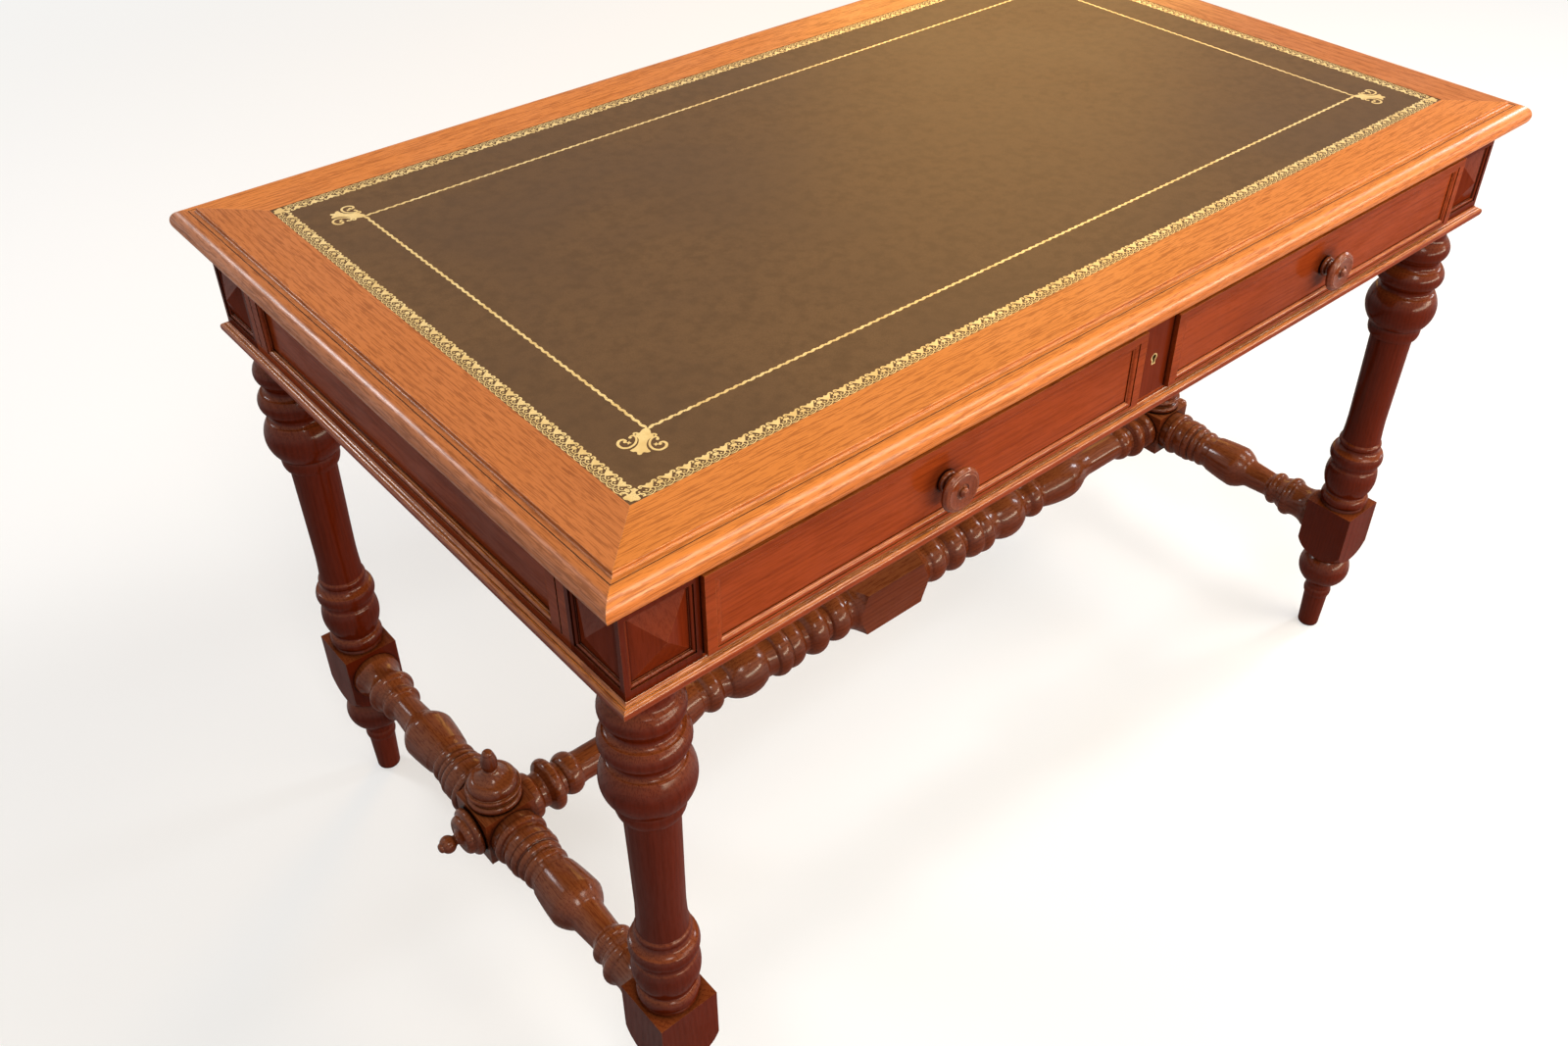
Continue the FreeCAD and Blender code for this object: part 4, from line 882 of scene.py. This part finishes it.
class Stamp:
    """A small flat ornament drawn in millimetres, built up from ribbons, patches and dots."""

    DOT_SIDES = 14
    STAR_POINTS = 4

    def __init__(self) -> None:
        """Starts empty."""
        self.points: list[Point] = []
        self.layers: list[int] = []
        self.faces: list[tuple[int, ...]] = []
        self.layer = 0

    def _keep(self, points: list[Point]) -> int:
        """Stores points on a new layer.

        Args:
            points: the points.

        Returns:
            The first one's number.
        """
        first = len(self.points)
        self.points.extend((float(a), float(b)) for a, b in points)
        self.layers.extend([self.layer] * len(points))
        self.layer += 1
        return first

    def ribbon(self, points: list[Point], widths: list[float], steps: int = 6) -> None:
        """Draws a line of changing width.

        Args:
            points: the points that its middle passes.
            widths: its width at even steps from start to end.
            steps: how many short runs lie between two points.
        """
        line = smooth_line(points, steps)
        rims = []
        for index, spot in enumerate(line):
            before = Vector(line[max(index - 1, 0)])
            after = Vector(line[min(index + 1, len(line) - 1)])
            way = (after - before).normalized()
            across = Vector((-way.y, way.x))
            share = index / (len(line) - 1) * (len(widths) - 1)
            low = min(int(share), len(widths) - 2)
            half = (widths[low] + (widths[low + 1] - widths[low]) * (share - low)) / 2
            rims.append((Vector(spot) + across * half, Vector(spot) - across * half))
        first = self._keep([tuple(rim) for pair in rims for rim in pair])
        for index in range(len(rims) - 1):
            base = first + 2 * index
            self.faces.append((base, base + 1, base + 3, base + 2))

    def twin_ribbons(self, points: list[Point], widths: list[float], steps: int = 6) -> None:
        """Draws a line of changing width and its mirror image."""
        self.ribbon(points, widths, steps)
        self.ribbon(mirror_line(points), widths, steps)

    def patch(self, outline: list[Point], steps: int = 3) -> None:
        """Fills a closed outline.

        Args:
            outline: its points in order.
            steps: how many short runs round it between two points; 1 leaves it straight.
        """
        line = smooth_line([*outline, outline[0]], steps)[:-1] if steps > 1 else outline
        first = self._keep(line)
        for corners in tessellate_polygon([[Vector((a, b, 0)) for a, b in line]]):
            self.faces.append(tuple(first + corner for corner in corners))

    def dot(self, centre: Point, radius: float) -> None:
        """Fills a round dot."""
        turns = [2 * math.pi * k / self.DOT_SIDES for k in range(self.DOT_SIDES)]
        self.patch([around(centre, radius, turn) for turn in turns], steps=1)

    def star(self, centre: Point, reach: float, waist: float) -> None:
        """Fills a star whose points and hollows lie at two distances from its centre."""
        self.patch([around(centre, waist if k % 2 else reach, math.pi * k / self.STAR_POINTS)
                    for k in range(2 * self.STAR_POINTS)], steps=1)


@dataclass
class Gilding:
    """Stamps set side by side on the leather, gathered in one thin mesh."""

    name: str
    height: float
    lift: float = 0.006 * MM
    points: list[Vector] = field(default_factory=list)
    faces: list[tuple[int, ...]] = field(default_factory=list)

    def press(self, stamp: Stamp, place: Matrix) -> None:
        """Sets a stamp on the leather.

        Args:
            stamp: the ornament, in millimetres.
            place: carries the ornament's own plane to the table, in millimetres.
        """
        first = len(self.points)
        flipped = place.to_2x2().determinant() < 0
        for (a, b), layer in zip(stamp.points, stamp.layers):
            spot = place @ Vector((a, b, 1.0))
            self.points.append(Vector((spot.x * MM, spot.y * MM, self.height + layer * self.lift)))
        for face in stamp.faces:
            numbers = [first + corner for corner in face]
            self.faces.append(tuple(reversed(numbers)) if flipped else tuple(numbers))

    def build(self, material: bpy.types.Material) -> bpy.types.Object:
        """Makes the mesh and lets it ride on the table.

        Args:
            material: the gold leaf.

        Returns:
            The new piece.
        """
        mesh = bpy.data.meshes.new(self.name)
        mesh.from_pydata(self.points, [], self.faces)
        for polygon in mesh.polygons:
            if polygon.normal.z < 0:
                polygon.flip()
        mesh.materials.append(material)
        piece = bpy.data.objects.new(self.name, mesh)
        bpy.context.collection.objects.link(piece)
        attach(piece, ROOT)
        return piece


def turned_place(origin: Point, turn: float, stretch: float = 1.0) -> Matrix:
    """A flat placement: stretched along, turned, then moved to its origin, in millimetres."""
    cosine, sine = math.cos(turn), math.sin(turn)
    return Matrix(((cosine * stretch, -sine, origin[0]), (sine * stretch, cosine, origin[1]),
                   (0, 0, 1)))


@dataclass
class Tooling:
    """The gold tooling of the leather: lace border, rope line and corner ornaments.

    The leather's half sizes and height are in metres, the ornaments' own sizes in millimetres.
    """

    half_length: float
    half_width: float
    height: float
    lace_pitch: float = 16.6
    lace_corner: float = 15.0
    lace_corner_inset: Point = (16.0, 16.0)
    rope_inset: Point = (62.1, 66.2)
    rope_pitch: float = 8.8

    def lace_stamp(self) -> Stamp:
        """Draws the lace border along it, and inward from the leather's edge.

        Returns:
            One repeat.
        """
        stamp = Stamp()
        half = self.lace_pitch / 2
        for middle in (-half / 2, half / 2):
            stamp.ribbon([(middle - 6.0, 5.6), (middle - 4.6, 2.6), (middle, 0.7),
                          (middle + 4.6, 2.6), (middle + 6.0, 5.6)], [0.8, 0.65, 0.9, 0.65, 0.8], 4)
            stamp.ribbon([(middle - 2.0, 2.9), (middle, 2.3), (middle + 2.2, 3.1)],
                         [0.3, 0.75, 0.3], 3)
        bell = [(0, 6.2), (1.5, 7.1), (2.9, 8.9), (4.3, 10.6), (5.0, 11.6), (3.6, 12.3),
                (1.6, 12.0), (0, 13.2)]
        stamp.patch(bell + mirror_line(bell[1:-1])[::-1])
        curl = [(3.4, 11.4), (5.0, 12.9), (6.6, 12.8), (7.2, 11.6), (6.5, 10.7), (5.8, 11.0)]
        stem = [(0.4, 7.0), (2.2, 5.4), (4.3, 4.2), (6.2, 5.2), (7.4, 6.8)]
        stamp.twin_ribbons(curl, [1.6, 1.5, 1.3, 1.1, 1.0], 4)
        stamp.twin_ribbons(stem, [1.1, 0.9, 0.8, 0.9], 4)
        for side in (-1, 1):
            stamp.dot((side * 6.0, 10.9), 0.65)
            stamp.dot((side * 4.4, 6.7), 0.75)
        bud = [(half - 2.7, 8.1), (half - 1.9, 9.4), (half - 0.7, 9.6), (half, 10.3),
               (half + 0.7, 9.6), (half + 1.9, 9.4), (half + 2.7, 8.1), (half + 1.6, 6.9),
               (half, 6.5), (half - 1.6, 6.9)]
        stamp.patch(bud)
        return stamp

    @staticmethod
    def lace_corner_stamp() -> Stamp:
        """Draws the border's corner: a fan on the diagonal, outward along the second axis.

        Returns:
            The fan.
        """
        stamp = Stamp()
        fan = [(0, 18.6), (2.2, 16.9), (4.9, 16.4), (6.2, 14.2), (4.6, 12.0), (2.4, 9.9),
               (1.4, 7.0), (3.2, 4.9), (1.8, 4.1), (0, 3.0)]
        stamp.patch(fan + mirror_line(fan[1:-1])[::-1])
        hook = [(3.0, 11.0), (5.4, 9.0), (8.0, 9.0), (8.8, 10.8), (7.4, 11.8)]
        stamp.twin_ribbons(hook, [1.5, 1.4, 1.2, 1.0], 4)
        for side in (-1, 1):
            stamp.dot((side * 4.0, 7.4), 0.9)
        return stamp

    @staticmethod
    def rope_stamp() -> Stamp:
        """Draws the inner rope line.

        Returns:
            One link.
        """
        stamp = Stamp()
        stamp.patch([(-4.0, -1.3), (-2.6, 0.2), (0.2, 1.6), (2.6, 1.6), (3.7, 0.6),
                     (2.6, -0.4), (0.0, -1.5), (-2.6, -1.8)])
        stamp.patch([(2.7, -0.2), (4.0, 1.0), (5.6, 1.0), (6.1, 0.1), (4.9, -1.0), (3.5, -1.1)], 2)
        return stamp

    @staticmethod
    def ornament_stamp() -> Stamp:
        """Draws the corner ornament outward from the rope's corner along the second axis.

        Returns:
            The ornament.
        """
        stamp = Stamp()
        body = [(0, 32.6), (1.5, 31.9), (1.9, 30.2), (3.0, 29.0), (5.0, 29.4), (7.6, 28.0),
                (5.2, 25.0), (3.4, 21.0), (3.1, 16.5), (4.2, 12.5), (6.6, 9.8), (6.2, 7.6),
                (4.2, 5.6), (3.2, 2.2), (1.6, 0.2)]
        stamp.patch([*body, *mirror_line(body[1:])[::-1]], 2)
        scroll = [(10.2, 12.6), (9.9, 10.6), (8.0, 9.8), (5.8, 12.0), (5.0, 16.4), (6.0, 21.0),
                  (9.4, 24.8), (14.0, 25.2), (17.4, 21.8), (17.6, 17.6), (15.2, 15.4),
                  (12.8, 16.4), (12.9, 18.4)]
        shoulder = [(3.6, 9.6), (5.4, 6.8), (7.6, 6.4), (8.4, 7.8), (7.4, 8.8)]
        stamp.twin_ribbons(scroll, [2.0, 1.5, 1.7, 2.0, 2.2, 2.1, 1.7])
        stamp.twin_ribbons(shoulder, [2.2, 1.7, 1.3])
        for side in (-1, 1):
            stamp.dot((side * 10.2, 12.4), 1.35)
            stamp.dot((side * 13.0, 18.2), 1.35)
            stamp.star((side * 10.0, 18.8), 2.3, 1.1)
        return stamp

    def press_sides(self, gilding: Gilding, stamp: Stamp, pitch: float, inset: Point,
                    corner_gap: float, stretched: bool) -> None:
        """Presses a stamp side by side along the four sides of a rectangle on the leather.

        Args:
            gilding: what gathers the stamps.
            stamp: one repeat.
            pitch: the repeat's length.
            inset: how far the rectangle lies inside the leather's ends and its long edges.
            corner_gap: how much of each side stays free at both its corners.
            stretched: whether the repeats are stretched to fill their side.
        """
        long, short = self.half_length / MM, self.half_width / MM
        half_long, half_short = long - inset[0], short - inset[1]
        for middle, turn, half, depth in (((0, -short), 0.0, half_long, inset[1]),
                                          ((long, 0), math.pi / 2, half_short, inset[0]),
                                          ((0, short), math.pi, half_long, inset[1]),
                                          ((-long, 0), -math.pi / 2, half_short, inset[0])):
            cosine, sine = math.cos(turn), math.sin(turn)
            run = 2 * (half - corner_gap)
            count = round(run / pitch)
            fitted = run / count
            stretch = fitted / pitch if stretched else 1.0
            for index in range(count):
                step = (index + 0.5) * fitted - run / 2
                origin = (middle[0] + cosine * step - sine * depth,
                          middle[1] + sine * step + cosine * depth)
                gilding.press(stamp, turned_place(origin, turn, stretch))

    def press_corners(self, gilding: Gilding, stamp: Stamp, inset: Point) -> None:
        """Presses a stamp at the four corners of a rectangle, turned outward on the diagonals.

        Args:
            gilding: what gathers the stamps.
            stamp: the ornament of one corner.
            inset: how far the rectangle lies inside the leather's ends and its long edges.
        """
        long, short = self.half_length / MM, self.half_width / MM
        for sx, sy in ((-1, -1), (1, -1), (1, 1), (-1, 1)):
            origin = (sx * (long - inset[0]), sy * (short - inset[1]))
            gilding.press(stamp, turned_place(origin, math.atan2(sy, sx) - math.pi / 2))

    def lace(self) -> Gilding:
        """Presses the lace border all round the leather's edge.

        Returns:
            The border.
        """
        gilding = Gilding("gold_lace_border", self.height)
        self.press_sides(gilding, self.lace_stamp(), self.lace_pitch, inset=(0.0, 0.0),
                         corner_gap=self.lace_corner, stretched=True)
        self.press_corners(gilding, self.lace_corner_stamp(), self.lace_corner_inset)
        return gilding

    def rope(self) -> Gilding:
        """Presses the rope line inside the border.

        Returns:
            The line.
        """
        gilding = Gilding("gold_rope_line", self.height)
        self.press_sides(gilding, self.rope_stamp(), self.rope_pitch, inset=self.rope_inset,
                         corner_gap=0.0, stretched=False)
        return gilding

    def ornaments(self) -> Gilding:
        """Presses the four scrolled ornaments at the rope line's corners.

        Returns:
            The ornaments.
        """
        gilding = Gilding("gold_corner_ornaments", self.height)
        self.press_corners(gilding, self.ornament_stamp(), self.rope_inset)
        return gilding


@dataclass
class TopAssembly:
    """The oak border, the board under the leather, the leather and its gold tooling."""

    dresser: Dresser
    tooling_lift: float = 0.02 * MM

    def build(self) -> None:
        """Dresses the top and lays the tooling on the leather."""
        self.dresser.oak(TOP_OAK, Grain.ALONG_X, "top_border_front", "top_border_back")
        self.dresser.oak(END_OAK, Grain.ALONG_Y, "top_border_left", "top_border_right")
        self.dresser.oak(PLAIN_OAK, Grain.ALONG_X, "top_board")
        self.dresser.plain(LeatherFinish(), "leather_inset")
        half_length, half_width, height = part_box("leather_inset")[1]
        tooling = Tooling(half_length, half_width, height + self.tooling_lift)
        gold = GildingFinish().material()
        for gilding in (tooling.lace(), tooling.rope(), tooling.ornaments()):
            piece = gilding.build(gold)
            LOG.info("%s: %d faces", piece.name, len(piece.data.polygons))


@dataclass
class FriezeAssembly:
    """The rails, sunk panels, corner pyramids and mouldings under the top."""

    dresser: Dresser

    def build(self) -> None:
        """Dresses the frieze."""
        self.dresser.oak(FRIEZE_OAK, Grain.ALONG_X, "front_top_rail", "front_bottom_rail",
                         "back_rail", "back_moulding", "base_moulding_front",
                         "base_moulding_back")
        self.dresser.oak(FRIEZE_OAK, Grain.ALONG_Y, "end_rail_left", "end_rail_right",
                         "end_moulding_left", "end_moulding_right", "base_moulding_left",
                         "base_moulding_right")
        self.dresser.oak(CORNER_OAK, Grain.ALONG_Z, "centre_stile", "corner_pyramids",
                         "corner_mouldings")
        self.dresser.oak(PLAIN_OAK, Grain.ALONG_Y, "runner_left", "runner_centre", "runner_right",
                         "drawer_kickers")
        self.dresser.oak(PLAIN_OAK, Grain.ALONG_X, "glue_blocks")
        self.dresser.plain(BRASS, "keyhole_escutcheon", "lock_screws", "lock_bolt_left",
                           "lock_bolt_right", "top_screws")
        self.dresser.plain(STEEL, "lock_case", "lock_hub")
        LOG.info("frieze dressed")


@dataclass
class DrawerAssembly:
    """One drawer with its turned knob."""

    dresser: Dresser
    side: Side

    def build(self) -> None:
        """Dresses the drawer."""
        name = f"drawer_{self.side.value}_"
        self.dresser.oak(FRIEZE_OAK, Grain.ALONG_X, name + "front", name + "moulding")
        self.dresser.oak(KNOB_OAK, Grain.ALONG_Y, name + "knob")
        self.dresser.oak(PLAIN_OAK, Grain.ALONG_Y, name + "side_inner", name + "side_outer",
                         name + "bottom")
        self.dresser.oak(PLAIN_OAK, Grain.ALONG_X, name + "back")
        self.dresser.plain(BRASS, name + "knob_screw")
        LOG.info("%s drawer dressed", self.side.value)


@dataclass
class StandAssembly:
    """The turned legs, the stretcher and its finials."""

    dresser: Dresser

    def build(self) -> None:
        """Dresses the stand."""
        for end in ("front", "back"):
            for side in Side:
                self.dresser.oak(LEG_OAK, Grain.ALONG_Z, f"leg_{end}_{side.value}")
        for side in Side:
            self.dresser.oak(STRETCHER_OAK, Grain.ALONG_Y, f"side_stretcher_{side.value}")
            self.dresser.oak(STRETCHER_OAK, Grain.ALONG_Z, f"top_finial_{side.value}")
            self.dresser.oak(STRETCHER_OAK, Grain.ALONG_X, f"outer_finial_{side.value}")
        self.dresser.oak(STRETCHER_OAK, Grain.ALONG_X, "long_stretcher")
        LOG.info("stand dressed")


@dataclass(frozen=True)
class Softbox:
    """A flat lamp that faces a point, as wide and high as its size says."""

    name: str
    place: Point
    height: float
    size: Point
    power: float
    colour: Colour

    def build(self, target: Vector) -> None:
        """Hangs the lamp and turns it to its target.

        Args:
            target: the point that it faces.
        """
        lamp = bpy.data.lights.new(self.name, "AREA")
        lamp.shape = "RECTANGLE"
        lamp.size, lamp.size_y = self.size
        lamp.energy = self.power
        lamp.color = self.colour
        holder = bpy.data.objects.new(self.name, lamp)
        holder.location = (*self.place, self.height)
        holder.rotation_euler = (target - holder.location).to_track_quat("-Z", "Y").to_euler()
        bpy.context.collection.objects.link(holder)


LAMPS = (
    Softbox("key_softbox", place=(1.2, -1.5), height=3.2, size=(1.6, 1.0), power=50.0,
            colour=(1.0, 0.93, 0.83)),
    Softbox("low_strip", place=(1.2, -3.3), height=1.0, size=(4.5, 0.45), power=118.0,
            colour=(1.0, 0.87, 0.65)),
    Softbox("left_softbox", place=(-1.3, -2.7), height=3.2, size=(0.9, 0.9), power=42.0,
            colour=(1.0, 0.92, 0.82)),
    Softbox("window_softbox", place=(3.4, -0.7), height=1.9, size=(0.5, 1.0), power=46.0,
            colour=(0.86, 0.93, 1.0)),
    Softbox("back_softbox", place=(-1.8, 2.9), height=2.6, size=(0.6, 0.6), power=40.0,
            colour=(0.92, 0.96, 1.0)),
    Softbox("golden_softbox", place=(3.0, 2.5), height=2.1, size=(1.4, 1.4), power=46.0,
            colour=(1.0, 0.52, 0.10)))


@dataclass
class Studio:
    """The pale floor, the lamps, the world and the camera."""

    floor_half: float = 14.0
    yaw: float = math.radians(41.06)
    pitch: float = math.radians(37.61)
    roll: float = math.radians(0.24)
    eye: tuple[float, float, float] = (-0.9475, -0.9487, 1.3844)
    picture: tuple[int, int] = (1600, 1067)
    focal_pixels: float = 1474.79
    centre_pixel: Point = (821.55, 483.05)
    sensor: float = 36.0
    sight: float = 100.0
    lamp_target: tuple[float, float, float] = (0.0, 0.0, 0.6)
    world_light: Colour = (0.38, 0.375, 0.37)
    world_seen: Colour = (0.93, 0.925, 0.91)

    def build(self) -> None:
        """Sets up the studio."""
        self.build_floor()
        self.build_world()
        for lamp in LAMPS:
            lamp.build(Vector(self.lamp_target))
        self.build_camera()
        bpy.context.scene.view_settings.view_transform = "Standard"
        LOG.info("studio set up with %d lamps", len(LAMPS))

    def build_floor(self) -> None:
        """Lays the floor."""
        half = self.floor_half
        mesh = bpy.data.meshes.new("studio_floor")
        mesh.from_pydata([(-half, -half, 0), (half, -half, 0), (half, half, 0), (-half, half, 0)],
                         [], [(0, 1, 2, 3)])
        mesh.materials.append(FloorFinish().material())
        floor = bpy.data.objects.new("studio_floor", mesh)
        bpy.context.collection.objects.link(floor)

    def build_world(self) -> None:
        """Lights the studio evenly, and shows a pale background to camera and reflections."""
        world = bpy.data.worlds.new("studio_air")
        bpy.context.scene.world = world
        bench = NodeBench(world)
        light = bench.add("ShaderNodeBackground", {}, {"Color": self.world_light})
        backdrop = bench.add("ShaderNodeBackground", {}, {"Color": self.world_seen})
        mixed = bench.add("ShaderNodeMixShader", {}, {0: bench.seen(), 1: light.outputs[0],
                                                      2: backdrop.outputs[0]})
        bench.add("ShaderNodeOutputWorld", {}, {"Surface": mixed.outputs[0]})

    def build_camera(self) -> None:
        """Puts the camera where the photograph was taken from."""
        forward = Vector((math.sin(self.yaw) * math.cos(self.pitch),
                          math.cos(self.yaw) * math.cos(self.pitch), -math.sin(self.pitch)))
        right = Vector((math.cos(self.yaw), -math.sin(self.yaw), 0.0))
        upward = right.cross(forward)
        rolled_right = right * math.cos(self.roll) + upward * math.sin(self.roll)
        rolled_up = upward * math.cos(self.roll) - right * math.sin(self.roll)
        turn = Matrix((rolled_right, rolled_up, -forward)).transposed()
        width, height = self.picture
        lens = bpy.data.cameras.new("photo_camera")
        lens.sensor_width = self.sensor
        lens.lens = self.focal_pixels * self.sensor / width
        lens.shift_x = (width / 2 - self.centre_pixel[0]) / width
        lens.shift_y = (self.centre_pixel[1] - height / 2) / width
        lens.clip_end = self.sight
        camera = bpy.data.objects.new("photo_camera", lens)
        camera.matrix_world = Matrix.Translation(self.eye) @ turn.to_4x4()
        bpy.context.collection.objects.link(camera)
        bpy.context.scene.camera = camera


def main() -> None:
    """Builds the table's looks in order."""
    logging.basicConfig(level=logging.INFO, format="%(name)s: %(message)s")
    dresser = Dresser()
    TopAssembly(dresser).build()
    FriezeAssembly(dresser).build()
    for side in Side:
        DrawerAssembly(dresser, side).build()
    StandAssembly(dresser).build()
    Studio().build()


if __name__ == "__main__":
    main()
